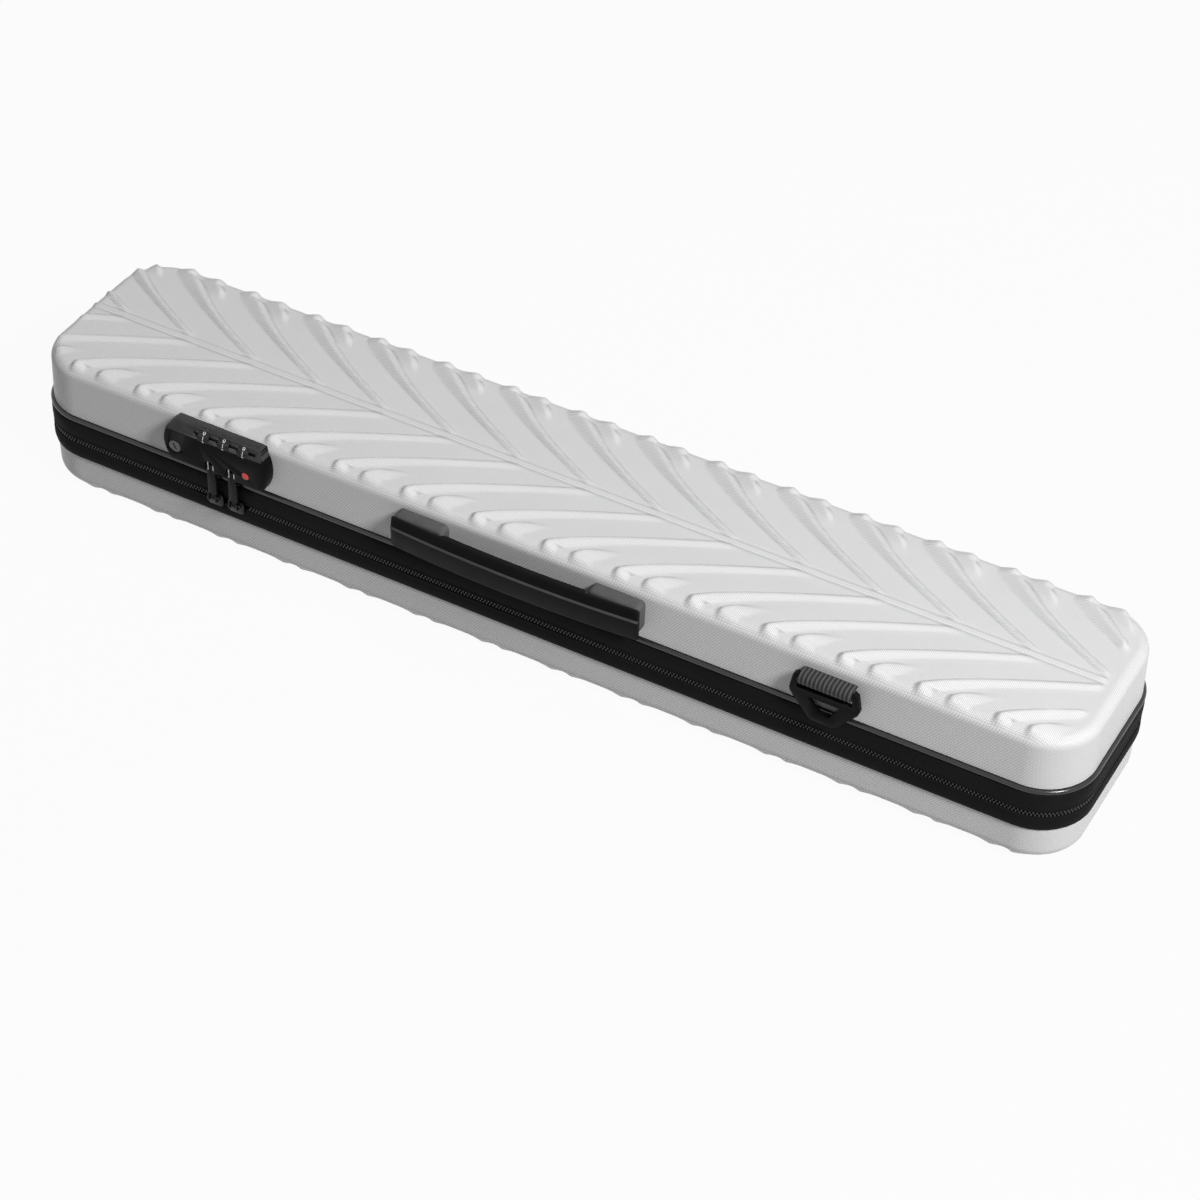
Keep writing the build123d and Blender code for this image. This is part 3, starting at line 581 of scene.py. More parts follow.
# Where each point of the flat sheet lies on the moulded form, its normal, and how far the
# form has turned there, from 0 on the wall to a right angle on top
def mould(flat_x, flat_y, height, edge_radius, inset):
    a = half_length - inset
    b = half_width - inset
    radius = corner_radius - inset
    wall_top, arc, reach_x, reach_y = sheet_size(height, edge_radius, inset)
    deep = np.minimum(reach_x - np.abs(flat_x), reach_y - np.abs(flat_y))
    turn = np.clip((deep - wall_top) / edge_radius, 0, math.pi / 2)
    on_wall = np.clip(deep, 0, wall_top)
    on_top = np.maximum(deep - wall_top - arc, 0)
    z = on_wall + edge_radius * np.sin(turn)
    inwards = on_wall * lean + edge_radius * (1 - np.cos(turn)) + on_top
    straight_x = a - radius
    straight_y = b - radius
    round_by = np.maximum(radius - inwards, 0)
    over_x = np.maximum(np.abs(flat_x) - straight_x, 0)
    over_y = np.maximum(np.abs(flat_y) - straight_y, 0)
    longest = np.maximum(np.maximum(reach_x - deep - straight_x, reach_y - deep - straight_y), 1e-9)
    side_long = over_y >= over_x
    by_side = math.pi / 4 * over_x / longest
    by_end = math.pi / 2 - math.pi / 4 * over_y / longest
    angle = np.where(side_long, by_side, by_end)
    in_corner = (over_x > 0) & (over_y > 0)
    out_x = np.where(in_corner, np.sin(angle), np.where(side_long, 0.0, 1.0))
    out_y = np.where(in_corner, np.cos(angle), np.where(side_long, 1.0, 0.0))
    core = (over_x == 0) & (over_y == 0)
    plan_x = np.where(in_corner, straight_x + round_by * out_x, np.abs(flat_x))
    plan_y = np.where(in_corner, straight_y + round_by * out_y, np.abs(flat_y))
    plan_x = np.where((over_x > 0) & (over_y == 0), a - inwards, plan_x)
    plan_y = np.where((over_y > 0) & (over_x == 0), b - inwards, plan_y)
    plan_x = np.where(core, np.abs(flat_x), plan_x)
    plan_y = np.where(core, np.abs(flat_y), plan_y)
    sign_x = np.sign(flat_x)
    sign_y = np.sign(flat_y)
    level = np.cos(turn)
    place = np.stack([sign_x * plan_x, sign_y * plan_y, z], axis=1)
    normal = np.stack([sign_x * out_x * level, sign_y * out_y * level, np.sin(turn)], axis=1)
    return place, normal, turn


# Height across one rib, from its foot: a flank up to a soft crest, then a flank down
def rib_profile(offset, rise, fall):
    share = np.where(offset < rise, (rise - offset) / rise, (offset - rise) / fall)
    share = np.clip(share, 0, 1)
    soft = 0.12
    top = math.sqrt(1 + soft * soft) - soft
    return 1 - (np.sqrt(share * share + soft * soft) - soft) / top


# Height of the leaf pattern over the plain form. Ribs sweep from the midrib to both edges,
# with short ribs between them near the edges. Drift is how far a rib lies to the right of
# its outer end, and rise and fall are the widths of its left and right flanks.
def leaf_relief(x, y, midrib, broad):
    travel = np.abs(y)
    share = np.clip(travel / rib_edge, 0, 1)
    rear = y > 0
    drift = rib_run * (1 - share) ** rib_bend
    slope = rib_run * rib_bend * (1 - share) ** (rib_bend - 1) / rib_edge
    square = 1 / np.sqrt(1 + slope * slope)
    high = (1.7 + np.where(rear, 2.3, 1.9) * share) * smooth_step((share - 0.03) / 0.09)
    rise = np.where(rear, 2.2 + 9.0 * share**2.5, 2.3 + 2.0 * share**10)
    fall = np.where(rear, 2.4 + 2.6 * share**2, 5.0 + 3.6 * share**2)
    if broad:
        rise = 3.0 + 8.0 * share**2
        fall = rise
    grown = smooth_step((travel - minor_start) / 15)
    gone = np.clip((travel - minor_start) / minor_reach, 0.0005, 1)
    minor_drift = minor_run * (1 - np.sqrt(gone))
    minor_slope = np.minimum(minor_run * 0.5 / np.sqrt(gone) / minor_reach, 8)
    minor_square = 1 / np.sqrt(1 + minor_slope**2)
    minor_rise = np.where(rear, 1.2 + 7.5 * grown, 1.7 + 1.2 * smooth_step((travel - 60) / 6))
    minor_fall = np.where(rear, 1.2 + 2.4 * grown, 1.5 + 8.0 * grown)
    total = np.zeros_like(x)
    for k in range(-3, 15):
        foot = rib_first_x + k * rib_pitch
        offset = (x - foot - drift) * square
        total = np.maximum(total, high * rib_profile(offset, rise, fall))
        offset = (x - foot - minor_offset - minor_drift) * minor_square
        minor = rib_profile(offset, minor_rise, minor_fall)
        total = np.maximum(total, minor_height * grown * minor)
    ridge = midrib * np.clip((2.5 - travel) / 1.2, 0, 1)
    groove = 0.5 * np.exp(-((travel - 3.5) / 0.8) ** 2)
    return np.maximum(total, ridge) - groove


# How much of the relief is kept: none in the plain areas on the front
def plain_patches(place, seam_z):
    z = place[:, 2] + seam_z
    keep = np.ones(len(place))
    for low, high, top in plain_areas:
        inside = np.minimum(place[:, 0] - low, high - place[:, 0])
        inside = np.minimum(inside, top - z)
        kept = keep * (1 - smooth_step(inside / 3.0 + 0.5))
        keep = np.where(place[:, 1] < plain_front_y, kept, keep)
    return keep


# A grid for a moulded form, with the place, normal and turn of each of its points. The lip
# is the part of the wall at its top that has fine cells.
def folded_grid(height, edge_radius, inset, lip, fine_x, fine_y):
    wall_top, arc, reach_x, reach_y = sheet_size(height, edge_radius, inset)
    columns = spacing(reach_x, wall_top - lip, fine_x)
    rows = spacing(reach_y, wall_top - lip, fine_y)
    bm = bmesh.new()
    bmesh.ops.create_grid(bm, x_segments=len(columns) - 1, y_segments=len(rows) - 1, size=1.0)
    co = np.array([v.co for v in bm.verts])
    i = np.rint((co[:, 0] + 1) / 2 * (len(columns) - 1)).astype(int)
    j = np.rint((co[:, 1] + 1) / 2 * (len(rows) - 1)).astype(int)
    return bm, *mould(columns[i], rows[j], height, edge_radius, inset)


def set_places(bm, places):
    for vert, co in zip(bm.verts, places):
        vert.co = co


# Ribbed outer face, with a rim turned in at the seam. The lower shell faces down.
def shell_outside(side, height, edge_radius, midrib, face_down, seam_z, body):
    grid = folded_grid(height, edge_radius, 0.0, 1.0, cell_size, cell_size)
    bm, place, normal, turn = grid
    lift = leaf_relief(place[:, 0], place[:, 1], midrib, face_down)
    turned_down = 1 - turn / (math.pi / 2)
    lift *= 1 - smooth_step(turned_down / np.where(place[:, 1] > 0, rear_turn, front_turn))
    lift *= smooth_step((relief_end_x - place[:, 0]) / relief_end_fade)
    lift = np.minimum(lift, relief_top)
    if not face_down:
        lift *= plain_patches(place, seam_z)
    place = place + normal * lift[:, None]
    place[:, 2] = seam_z + (-place[:, 2] if face_down else place[:, 2])
    set_places(bm, place)
    rim = [e for e in bm.edges if e.is_boundary]
    turned = bmesh.ops.extrude_edge_only(bm, edges=rim)["geom"]
    for vert in [g for g in turned if isinstance(g, bmesh.types.BMVert)]:
        x = max(-half_length + corner_radius, min(half_length - corner_radius, vert.co.x))
        y = max(-half_width + corner_radius, min(half_width - corner_radius, vert.co.y))
        out = Vector((vert.co.x - x, vert.co.y - y, 0))
        vert.co -= out.normalized() * shell_wall
    name = f"{side}_shell_ribbed"
    piece = finish_piece(name, bm, silver, body, smooth=60, outward=False)
    if face_down:
        piece.data.flip_normals()
    replace(piece, "silver_shell", f"{side}_shell")


# Inner face of a shell, which closes it behind the beds
def shell_inside(side, height, edge_radius, face_down, seam_z, body):
    height -= shell_wall
    edge_radius -= shell_wall
    bm, place = folded_grid(height, edge_radius, shell_wall, 0.0, 9.0, 5.0)[:2]
    place[:, 2] = seam_z + (-place[:, 2] if face_down else place[:, 2])
    set_places(bm, place)
    name = f"{side}_shell_inner_face"
    piece = finish_piece(name, bm, silver, body, smooth=60, outward=False)
    if not face_down:
        piece.data.flip_normals()


def make_shell(side, height, edge_radius, midrib, face_down, seam_z, body):
    shell_outside(side, height, edge_radius, midrib, face_down, seam_z, body)
    shell_inside(side, height, edge_radius, face_down, seam_z, body)


make_shell("upper", upper_height, upper_edge_radius, upper_midrib, False, upper_seam_z, "lid")
make_shell("lower", lower_height, lower_edge_radius, lower_midrib, True, lower_seam_z, "base")


# Rings that follow the case in plan

# Extrudes a loop of edges a number of times, and gives the last loop
def extend(bm, edges, matrix, steps):
    for _ in range(steps):
        made = bmesh.ops.extrude_edge_only(bm, edges=edges)["geom"]
        verts = [g for g in made if isinstance(g, bmesh.types.BMVert)]
        bmesh.ops.transform(bm, matrix=matrix, verts=verts)
        moved = set(verts)
        edges = [g for g in made if isinstance(g, bmesh.types.BMEdge) and moved.issuperset(g.verts)]
    return edges


def about(x, y, angle):
    centre = Matrix.Translation((x, y, 0))
    return centre @ Matrix.Rotation(angle, 4, "Z") @ centre.inverted()


# Sweeps a closed (proud, z) profile round the case
def swept_ring(profile, corner_steps=10):
    long_steps = 60
    short_steps = 10
    straight_x = half_length - corner_radius
    straight_y = half_width - corner_radius
    bm = bmesh.new()
    verts = [bm.verts.new((-straight_x, -half_width - proud, z)) for proud, z in profile]
    edges = [bm.edges.new((a, b)) for a, b in zip(verts, verts[1:] + verts[:1])]
    step = math.pi / 2 / corner_steps
    for sign in (1, -1):
        move = Matrix.Translation((sign * 2 * straight_x / long_steps, 0, 0))
        edges = extend(bm, edges, move, long_steps)
        edges = extend(bm, edges, about(sign * straight_x, -sign * straight_y, step), corner_steps)
        move = Matrix.Translation((0, sign * 2 * straight_y / short_steps, 0))
        edges = extend(bm, edges, move, short_steps)
        edges = extend(bm, edges, about(sign * straight_x, sign * straight_y, step), corner_steps)
    bmesh.ops.remove_doubles(bm, verts=bm.verts, dist=0.01)
    return bm


# The band's halves swell a little between their bound edges. Profiles are (proud, z).
def make_bands():
    upper = [
        (-4.2, 49.06), (-1.75, 49.06), (-1.75, 51.2), (1.3, 51.25), (2.05, 51.6), (2.2, 52.4),
        (1.85, 53.0), (1.8, 53.6), (2.2, 55.5), (2.45, 59.0), (2.3, 63.0), (1.9, 66.2),
        (1.2, 67.0), (-1.7, 67.1), (-1.7, 71.4), (-4.2, 71.4),
    ]
    lower = [
        (-4.2, 48.94), (-1.75, 48.94), (-1.75, 46.8), (1.3, 46.75), (2.05, 46.4), (2.2, 45.6),
        (1.85, 45.0), (1.8, 44.4), (2.2, 43.0), (2.4, 40.5), (2.2, 37.5), (1.6, 35.0),
        (0.9, 34.2), (-4.2, 34.1),
    ]
    piece = finish_piece("upper_band_cloth", swept_ring(upper), band_cloth, "lid", smooth=50)
    replace(piece, "band_cloth", "upper_band")
    piece = finish_piece("lower_band_cloth", swept_ring(lower), band_cloth, "base", smooth=50)
    replace(piece, "band_cloth", "lower_band")


# Glossy bead under the upper shell's seam
def make_bead():
    profile = []
    radius = 2.0
    sides = 12
    for i in range(sides):
        angle = math.tau * (i + 0.5) / sides
        profile.append((0.5 + radius * math.cos(angle), 69.2 + radius * math.sin(angle)))
    bm = swept_ring(profile, corner_steps=14)
    piece = finish_piece("piping_bead", bm, bead, "lid", smooth=60)
    replace(piece, "piping", "upper_piping")


# Point and heading at a distance along the case's outline, from the front left corner
def along_outline(distance, proud):
    straight_x = 2 * (half_length - corner_radius)
    straight_y = 2 * (half_width - corner_radius)
    radius = corner_radius + proud
    turn = math.pi / 2 * radius
    x = -straight_x / 2
    y = -half_width - proud
    heading = 0.0
    for run in (straight_x, straight_y, straight_x, straight_y):
        if distance < run:
            return x + distance * math.cos(heading), y + distance * math.sin(heading), heading
        distance -= run
        x += run * math.cos(heading)
        y += run * math.sin(heading)
        centre_x = x - radius * math.sin(heading)
        centre_y = y + radius * math.cos(heading)
        heading += min(distance, turn) / radius
        x = centre_x + radius * math.sin(heading)
        y = centre_y - radius * math.cos(heading)
        if distance < turn:
            break
        distance -= turn
    return x, y, heading


# Zip teeth sit in the recess round the front and both ends, apart from under the sliders
# and behind the hinge. They narrow towards their outer ends.
def make_teeth(name, side, body):
    proud = 0.6
    pitch = 2.6
    tooth = (1.7, 1.5, 1.87)
    middle = side * 1.015
    total = 2 * (2 * (half_length - corner_radius) + 2 * (half_width - corner_radius))
    total += math.tau * (corner_radius + proud)
    bm = bmesh.new()
    for i in range(int(total / pitch)):
        x, y, heading = along_outline(i * pitch + (0.5 * pitch if side > 0 else 0), proud)
        behind_hinge = y > 60 and abs(x) < 372
        under_sliders = y < 0 and -262.5 < x < -226.5
        if behind_hinge or under_sliders:
            continue
        made = bmesh.ops.create_cube(bm, size=1.0)["verts"]
        bmesh.ops.scale(bm, vec=tooth, verts=made)
        for vert in made:
            if vert.co.y < 0:
                vert.co.x *= 0.55
                vert.co.z *= 0.75
        turn = Matrix.Translation((x, y, zip_z + middle)) @ Matrix.Rotation(heading, 4, "Z")
        bmesh.ops.transform(bm, matrix=turn, verts=made)
    piece = finish_piece(name, bm, zip_coil, body, smooth=40)


make_bands()
make_bead()
make_teeth("zip_teeth_upper", 1, "lid")
make_teeth("zip_teeth_lower", -1, "base")


# Cloth hinge along the back

# Gives a sheet its thickness, half to each side
def thicken(piece, thickness):
    thick = piece.modifiers.new("thickness", "SOLIDIFY")
    thick.thickness = thickness * MM
    thick.offset = 0


def make_hinge_cloth():
    half_run = 370
    half_rise = 10.1
    bm = bmesh.new()
    bmesh.ops.create_grid(bm, x_segments=148, y_segments=16, size=1.0)
    for vert in bm.verts:
        x = vert.co.x * half_run
        z = zip_z + vert.co.y * half_rise
        wave = 0.06 * math.sin(x * 0.11) * math.sin(z * 0.5)
        fold = 0.25 * math.exp(-((z - zip_z) / 1.2) ** 2)
        vert.co = (x, 79.78 + wave - fold, z)
    piece = finish_piece("hinge_cloth", bm, band_cloth, None, smooth=60, outward=False)
    thicken(piece, 0.6)
    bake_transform(piece)
    replace(piece, "band_cloth", "hinge_leaf_lower", "hinge_leaf_upper")


make_hinge_cloth()


# Foam beds, with rounded cue channels and a flocked face. The foot of each is tucked in to
# follow its shell's rounded edge, and the upper one has pockets behind the fittings.

def make_bed(side, low_z, high_z, face_down, count, pitch, width, depth, pockets, body):
    inset = 5.7
    height = high_z - low_z
    bm, place = folded_grid(height, 5.0, inset, 0.0, 4.0, 1.6)[:2]
    sink = np.zeros(len(place))
    end = 1 - smooth_step((np.abs(place[:, 0]) - channel_end_x) / 4)
    half = width / 2 - 0.3
    for i in range(count):
        offset = np.abs(place[:, 1] - (i - (count - 1) / 2) * pitch)
        bowl = depth - half + np.sqrt(np.maximum(half * half - offset * offset, 0))
        lip = smooth_step((half + 1.2 - offset) / 2.4)
        sink = np.maximum(sink, np.where(offset < half, bowl, 0) * lip)
    flat_face = place[:, 2] > height - 0.01
    place[:, 2] -= np.where(flat_face, sink * end, 0)
    tuck = np.maximum(9.5 - place[:, 2], 0) * (1 - flat_face)
    core_x = half_length - corner_radius
    core_y = half_width - corner_radius
    core = [np.clip(place[:, 0], -core_x, core_x), np.clip(place[:, 1], -core_y, core_y)]
    away = place[:, :2] - np.stack(core, axis=1)
    length = np.maximum(np.linalg.norm(away, axis=1), 1e-6)
    place[:, :2] -= away / length[:, None] * tuck[:, None] * (length > 5)[:, None]
    for low_x, high_x in pockets:
        inside = (place[:, 0] > low_x) & (place[:, 0] < high_x) & (place[:, 1] < pocket_y)
        behind = inside & (place[:, 2] < height - pocket_lip)
        place[:, 1] = np.where(behind, pocket_y, place[:, 1])
    place[:, 2] = (high_z - place[:, 2]) if face_down else (low_z + place[:, 2])
    set_places(bm, place)
    rim = [e for e in bm.edges if e.is_boundary]
    bmesh.ops.edgeloop_fill(bm, edges=rim)
    piece = finish_piece(f"{side}_foam_bed", bm, foam, body, smooth=60)
    replace(piece, "foam", f"{side}_foam")


make_bed("lower", 5.2, 46.0, False, 3, 42.0, 34.0, 30.0, (), "base")
make_bed("upper", 52.0, 111.8, True, 4, 23.0, 16.0, 22.0, lid_pockets, "lid")


# Elastic straps across the lower bed
def make_straps():
    strap_half_width = 19
    strap_half_run = 67.6
    strap_z = 46.52
    bm = bmesh.new()
    for x in (-230.0, 230.0):
        made = bmesh.ops.create_grid(bm, x_segments=24, y_segments=66, size=1.0)["verts"]
        for vert in made:
            across = vert.co.x
            rib = 0.07 * math.cos(across * math.pi * 12)
            crown = 0.12 * (1 - across**6)
            z = strap_z + rib + crown
            vert.co = (x + across * strap_half_width, vert.co.y * strap_half_run, z)
    piece = finish_piece("elastic_straps", bm, webbing, "base", smooth=70, outward=False)
    thicken(piece, 0.8)
    replace(piece, "webbing", "holding_straps")


make_straps()


# Lock and its fittings

# A digit as a thin raised mesh, centred on its own origin
def digit_shape(digit):
    curve = bpy.data.curves.new(f"digit_{digit}", "FONT")
    curve.body = str(digit)
    curve.size = 4.6
    curve.align_x = "CENTER"
    curve.align_y = "CENTER"
    curve.extrude = 0.12
    curve.resolution_u = 2
    holder = bpy.data.objects.new("digit", curve)
    bpy.context.scene.collection.objects.link(holder)
    ready = holder.evaluated_get(bpy.context.evaluated_depsgraph_get())
    shape = bpy.data.meshes.new_from_object(ready)
    bpy.data.objects.remove(holder)
    bpy.data.curves.remove(curve)
    return shape


# Number wheel with ten flats between its grooves and a digit on each
def make_dial(number, x):
    flats = 10
    bm = bmesh.new()
    bmesh.ops.create_cone(
        bm,
        cap_ends=True,
        segments=60,
        radius1=dial_radius,
        radius2=dial_radius,
        depth=dial_width,
    )
    on_side = Matrix.Rotation(math.pi / 2, 3, "Y")
    bmesh.ops.rotate(bm, cent=(0, 0, 0), matrix=on_side, verts=bm.verts)
    for vert in bm.verts:
        angle = math.atan2(vert.co.z, vert.co.y)
        place = (angle / (math.tau / flats) + 0.5) % 1.0
        groove = max(0.0, 1 - min(place, 1 - place) / 0.12)
        scale = 1 - 0.08 * groove
        vert.co.y *= scale
        vert.co.z *= scale
    caps = [f for f in bm.faces if abs(f.normal.x) > 0.9]
    bmesh.ops.inset_individual(bm, faces=caps, thickness=1.1, depth=-0.25)
    middle = (x, front_y - dial_proud, dial_z)
    bmesh.ops.translate(bm, vec=middle, verts=bm.verts)
    for digit in range(flats):
        shape = digit_shape(digit)
        turn = Matrix.Rotation(math.tau * digit / flats + dial_start, 4, "X")
        lift = Matrix.Translation((0, 0, dial_radius * 0.985))
        shape.transform(Matrix.Translation(middle) @ turn @ lift)
        before = len(bm.faces)
        bm.from_mesh(shape)
        bpy.data.meshes.remove(shape)
        bm.faces.ensure_lookup_table()
        for face in bm.faces[before:]:
            face.material_index = 1
    name = f"number_wheel_{number}"
    body = f"dial_{number}"
    piece = finish_piece(name, bm, wheel_black, body, smooth=20, outward=False, extra=(ivory,))
    replace(piece, "dial_ivory", f"lock_dial_{number}")


for number, x in enumerate(dial_places, start=1):
    make_dial(number, x)


# The housing's right end is shorter than the CAD's, and its upward faces along the front top are
# painted lighter as a sheen
def make_housing():
    bm = softened("lock_body", 0.45)
    for vert in bm.verts:
        over = vert.co.x / MM - lock_end_x
        if over > 0:
            vert.co.x = (lock_end_x + over * lock_end_scale) * MM
    bm.normal_update()
    # Painted sheen: upward faces along the front top take the lighter black
    for face in bm.faces:
        centre = face.calc_center_median() / MM
        if face.normal.z > 0.4 and centre.z > 103.5 and centre.y < front_y - 2:
            face.material_index = 1
    name = "lock_housing"
    piece = finish_metres(name, bm, black, "lid", smooth=40, outward=False, extra=(top_sheen_black,))
    replace(piece, "lock_black", "lock_body")


def make_key_and_button():
    bm = softened("key_cylinder", 0.25)
    piece = finish_metres("key_barrel", bm, dark_metal, "key", smooth=40)
    replace(piece, "lock_dark_metal", "key_cylinder")
    bm = bmesh.new()
    bmesh.ops.create_uvsphere(bm, u_segments=28, v_segments=14, radius=button_radius)
    bmesh.ops.scale(bm, vec=(1, 0.28, 1), verts=bm.verts)
    bmesh.ops.translate(bm, vec=button_place, verts=bm.verts)
    piece = finish_piece("red_button", bm, red, "lid", smooth=60)
    replace(piece, "red_dot", "lock_dot")


def make_sliders():
    for side in ("left", "right"):
        name = f"zip_slider_{side}"
        bm = softened(name, 0.4)
        piece = finish_metres(name + "_body", bm, slider_metal, "base", smooth=40)
        replace(piece, "slider_metal", name)
        name = f"zip_pull_{side}"
        bm = softened(name, 0.4)
        piece = finish_metres(name + "_tab", bm, pull_metal, f"pull_{side}", smooth=40)
        replace(piece, "pull_metal", name)


make_housing()
make_key_and_button()
make_sliders()


# Handle

def make_mounts():
    for side, x in zip(("left", "right"), mount_places):
        bm = bmesh.new()
        front = front_y - mount_proud
        cube(bm, (x - 20.6, front, 79.6), (x + 20.0, front_y + 1.2, 104.0))
        across = [e for e in bm.edges if abs(e.verts[0].co.y - e.verts[1].co.y) > 1]
        round_edges(bm, across, 4.0, 4)
        rim = [e for e in bm.edges if all(v.co.y < front + 0.7 for v in e.verts)]
        round_edges(bm, rim, 2.2, 3)
        piece = finish_piece(f"soft_mount_{side}", bm, mount_grey, "lid", smooth=50)
        replace(piece, "mount_grey", f"grip_mount_{side}")


# Rises from 0 to 1 like a quarter round
def rounding(value):
    return math.sin(max(0.0, min(1.0, value)) * math.pi / 2)


# Two-facet bar that bows outwards in its middle, thins at its ends, and is cut back behind
# where the mounts stand. The profile is (proud, z).
def make_grip():
    profile = [
        (0.3, 103.2), (1.0, 103.5), (3.9, 103.5), (4.7, 102.9), (6.2, 95.6), (6.6, 94.6),
        (6.45, 93.4), (5.3, 78.2), (4.5, 76.8), (3.6, 76.5), (1.2, 76.5), (0.2, 77.2),
    ]
    bm = bmesh.new()
    left = handle_x - grip_half_length
    back_y = front_y - grip_gap
    verts = [bm.verts.new((left, back_y - proud, z)) for proud, z in profile]
    edges = bm.faces.new(verts).edges
    end_run = 2.1
    end_step = Matrix.Translation((end_run / 3, 0, 0))
    step = Matrix.Translation(((2 * grip_half_length - 2 * end_run) / 66, 0, 0))
    edges = extend(bm, list(edges), end_step, 3)
    edges = extend(bm, edges, step, 66)
    edges = extend(bm, edges, end_step, 3)
    bmesh.ops.edgeloop_fill(bm, edges=edges)
    middle_z = 90.0
    notch_reach = 21.5
    notch_depth = 3.4
    for vert in bm.verts:
        share = (vert.co.x - handle_x) / grip_half_length
        end = rounding((1 - abs(share)) * grip_half_length / 2.2)
        bow = grip_bow * (1 - share * share)
        depth = back_y - vert.co.y
        if any(abs(vert.co.x - x) < notch_reach for x in mount_places):
            depth = max(depth, notch_depth)
        vert.co.z = middle_z + (vert.co.z - middle_z) * (0.93 + 0.07 * end)
        vert.co.y = back_y - bow - depth * (0.9 + 0.1 * end)
    bm.normal_update()
    # Painted highlight: faces along the bar's front ridge take the lighter black
    for face in bm.faces:
        centre = face.calc_center_median()
        if 93.3 < centre.z < 95.7 and centre.y < front_y - 10 and len(face.verts) == 4:
            face.material_index = 1
    for x in mount_places:
        cube(bm, (x - 7, front_y - 10.6, 87.5), (x + 7, front_y + 18.6, 95.5))
    piece = finish_piece("grip_bar", bm, grip_black, "grip", smooth=38, extra=(ridge_highlight_black,))
    replace(piece, "lock_black", "grip")


make_mounts()
make_grip()


# Strap ring and its webbing loop

def make_ring():
    bm = softened("strap_ring", 0.5)
    piece = finish_metres("ring_moulding", bm, black, "ring", smooth=40)
    replace(piece, "lock_black", "strap_ring")


# One side of the webbing's fold, from the wall, round the front and back to the wall
def fold_line(radius):
    sides = 12
    back = -2.6
    line = [(back, ring_z + radius)]
    for i in range(sides + 1):
        angle = math.pi / 2 - math.pi * i / sides
        line.append((ring_proud + radius * math.cos(angle), ring_z + radius * math.sin(angle)))
    return line + [(back, ring_z - radius)]


# Folded webbing with raised cords across its length
def make_webbing():
    profile = fold_line(fold_outer) + fold_line(fold_inner)[::-1]
    bm = bmesh.new()
    low = ring_x - webbing_half
    width = 2 * webbing_half
    steps = 104
    verts = [bm.verts.new((low, front_y - proud, z)) for proud, z in profile]
    edges = list(bm.faces.new(verts).edges)
    edges = extend(bm, edges, Matrix.Translation((width / steps, 0, 0)), steps)
    bmesh.ops.edgeloop_fill(bm, edges=edges)
    for vert in bm.verts:
        y = front_y - ring_proud - vert.co.y
        z = vert.co.z - ring_z
        reach = math.hypot(max(y, 0), z)
        if reach > 4.2:
            x = vert.co.x - ring_x
            cord = 0.34 * abs(math.cos(math.pi * x / cord_pitch)) - 0.36
            edge = -0.4 * max(0.0, (abs(x) - 18.6) / 1.1)
            scale = 1 + (cord + edge) / reach
            vert.co.z = ring_z + z * scale
            if y > 0:
                vert.co.y = front_y - ring_proud - y * scale
    cube(bm, (low, front_y + 2.8, ring_z - 5.2), (low + width, front_y + 4.2, ring_z + 5.2))
    piece = finish_piece("ribbed_webbing", bm, corded_webbing, "lid", smooth=60)
    replace(piece, "webbing", "strap_webbing")


make_ring()
make_webbing()


# Steel parts keep the CAD's form
plates = ("lock_plate", "grip_guide_plates", "strap_anchor_plate")
for node in ("dial_axle", "pull_pins", "grip_stop_clips", *plates):
    mesh = nodes[node].data
    mesh.materials.clear()
    mesh.materials.append(steel)


# Floor, light and camera

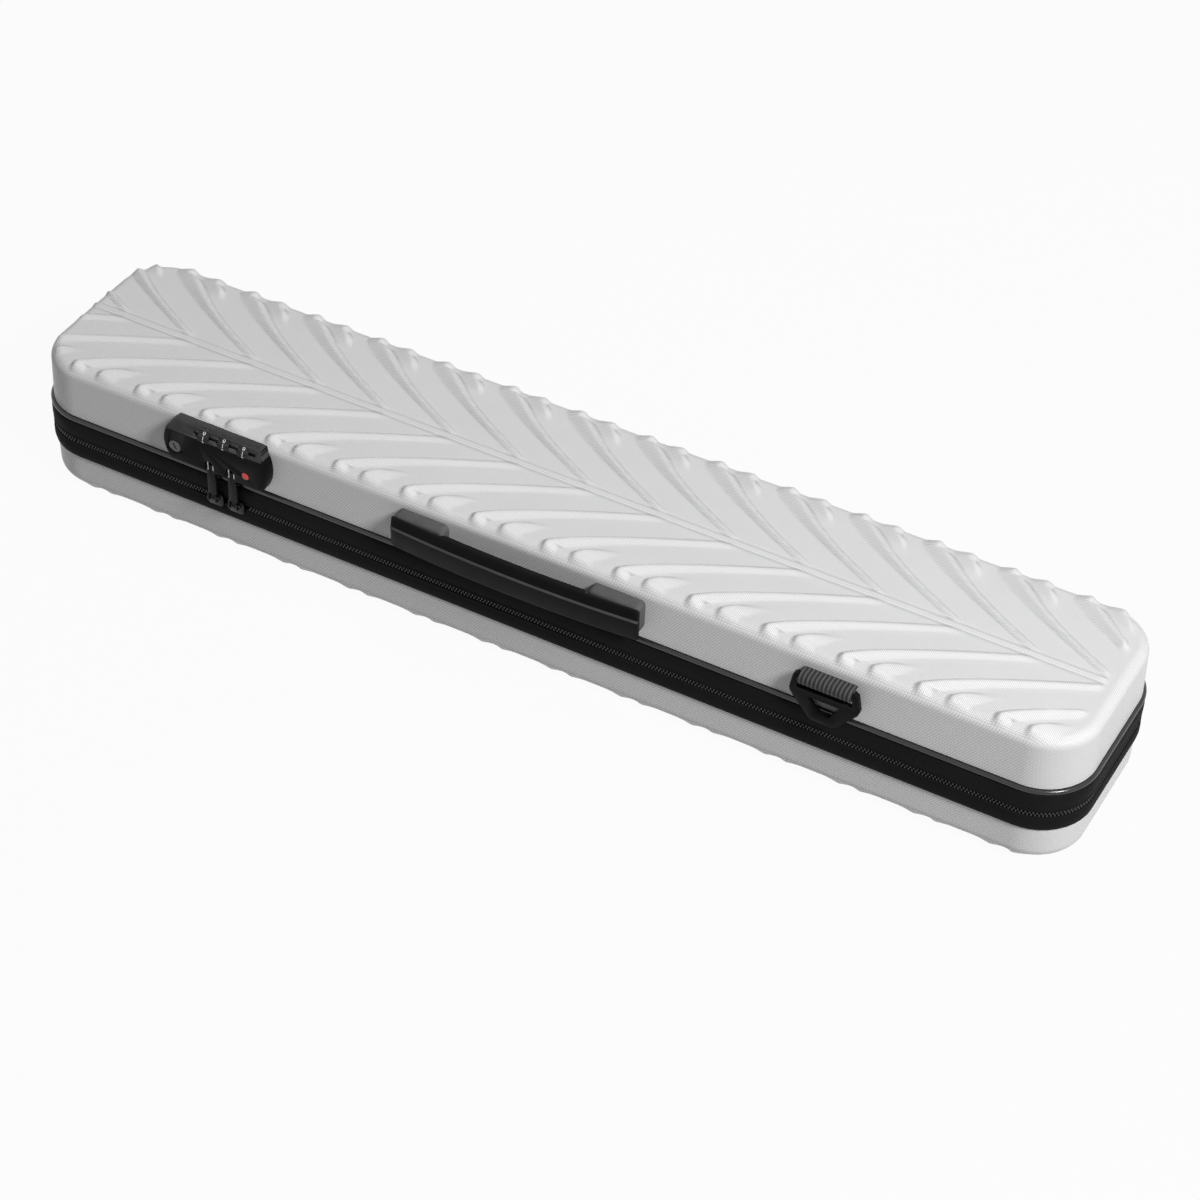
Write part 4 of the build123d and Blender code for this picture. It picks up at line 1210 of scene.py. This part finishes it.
def make_floor():
    bm = bmesh.new()
    bmesh.ops.create_grid(bm, x_segments=4, y_segments=4, size=9.0)
    mesh = bpy.data.meshes.new("floor")
    bm.to_mesh(mesh)
    bm.free()
    floor = bpy.data.objects.new("floor", mesh)
    bpy.context.scene.collection.objects.link(floor)
    material = bpy.data.materials.new("studio_floor")
    material.use_nodes = True
    tree = material.node_tree
    shader = tree.nodes["Principled BSDF"]
    shader.inputs["Base Color"].default_value = (0.4, 0.4, 0.4, 1)
    shader.inputs["Roughness"].default_value = 0.9
    shader.inputs["Specular IOR Level"].default_value = 0.0
    white = place_node(tree, "ShaderNodeEmission")
    mix = place_node(tree, "ShaderNodeMixShader")
    join(tree, math_node(tree, "MULTIPLY", seen_rays(tree), floor_white), mix.inputs[0])
    join(tree, shader.outputs[0], mix.inputs[1])
    join(tree, white.outputs[0], mix.inputs[2])
    join(tree, mix.outputs[0], tree.nodes["Material Output"].inputs["Surface"])
    mesh.materials.append(material)


def make_world():
    world = bpy.data.worlds.new("studio")
    bpy.context.scene.world = world
    world.use_nodes = True
    tree = world.node_tree
    sky = tree.nodes["Background"]
    sky.inputs["Color"].default_value = (1, 1, 1, 1)
    strength = math_node(tree, "MULTIPLY_ADD", seen_rays(tree), 1.0 - world_light, world_light)
    join(tree, strength, sky.inputs["Strength"])


def add_lamp(name, place, target, size, power):
    light = bpy.data.lights.new(name, "AREA")
    light.shape = "DISK"
    light.size = size
    light.energy = power
    lamp = bpy.data.objects.new(name, light)
    bpy.context.scene.collection.objects.link(lamp)
    lamp.location = place
    aim = Vector(target) - Vector(place)
    lamp.rotation_euler = aim.to_track_quat("-Z", "Y").to_euler()


# The camera's place and axes were fitted to the photograph's view
def make_camera():
    right = Vector((0.87386, 0.48545, 0.02658))
    up = Vector((-0.33762, 0.56660, 0.75165))
    back = Vector((0.34983, -0.66581, 0.65902))
    camera = bpy.data.cameras.new("camera")
    camera.sensor_width = 36
    camera.lens = 95.6
    camera.shift_x = -0.00225
    camera.shift_y = -0.0026
    camera.clip_end = 50
    eye = bpy.data.objects.new("camera", camera)
    bpy.context.scene.collection.objects.link(eye)
    turn = Matrix((right, up, back)).transposed().to_4x4()
    eye.matrix_world = Matrix.Translation((0.8306, -1.5320, 1.5341)) @ turn
    bpy.context.scene.camera = eye


make_floor()
make_world()
add_lamp("key", (2.1, -0.85, 2.2), (0, 0, 0.05), 0.8, 98)
add_lamp("top", (0.2, 0.4, 2.8), (0, 0, 0.05), 0.9, 16)
make_camera()
bpy.context.scene.view_settings.view_transform = "Standard"
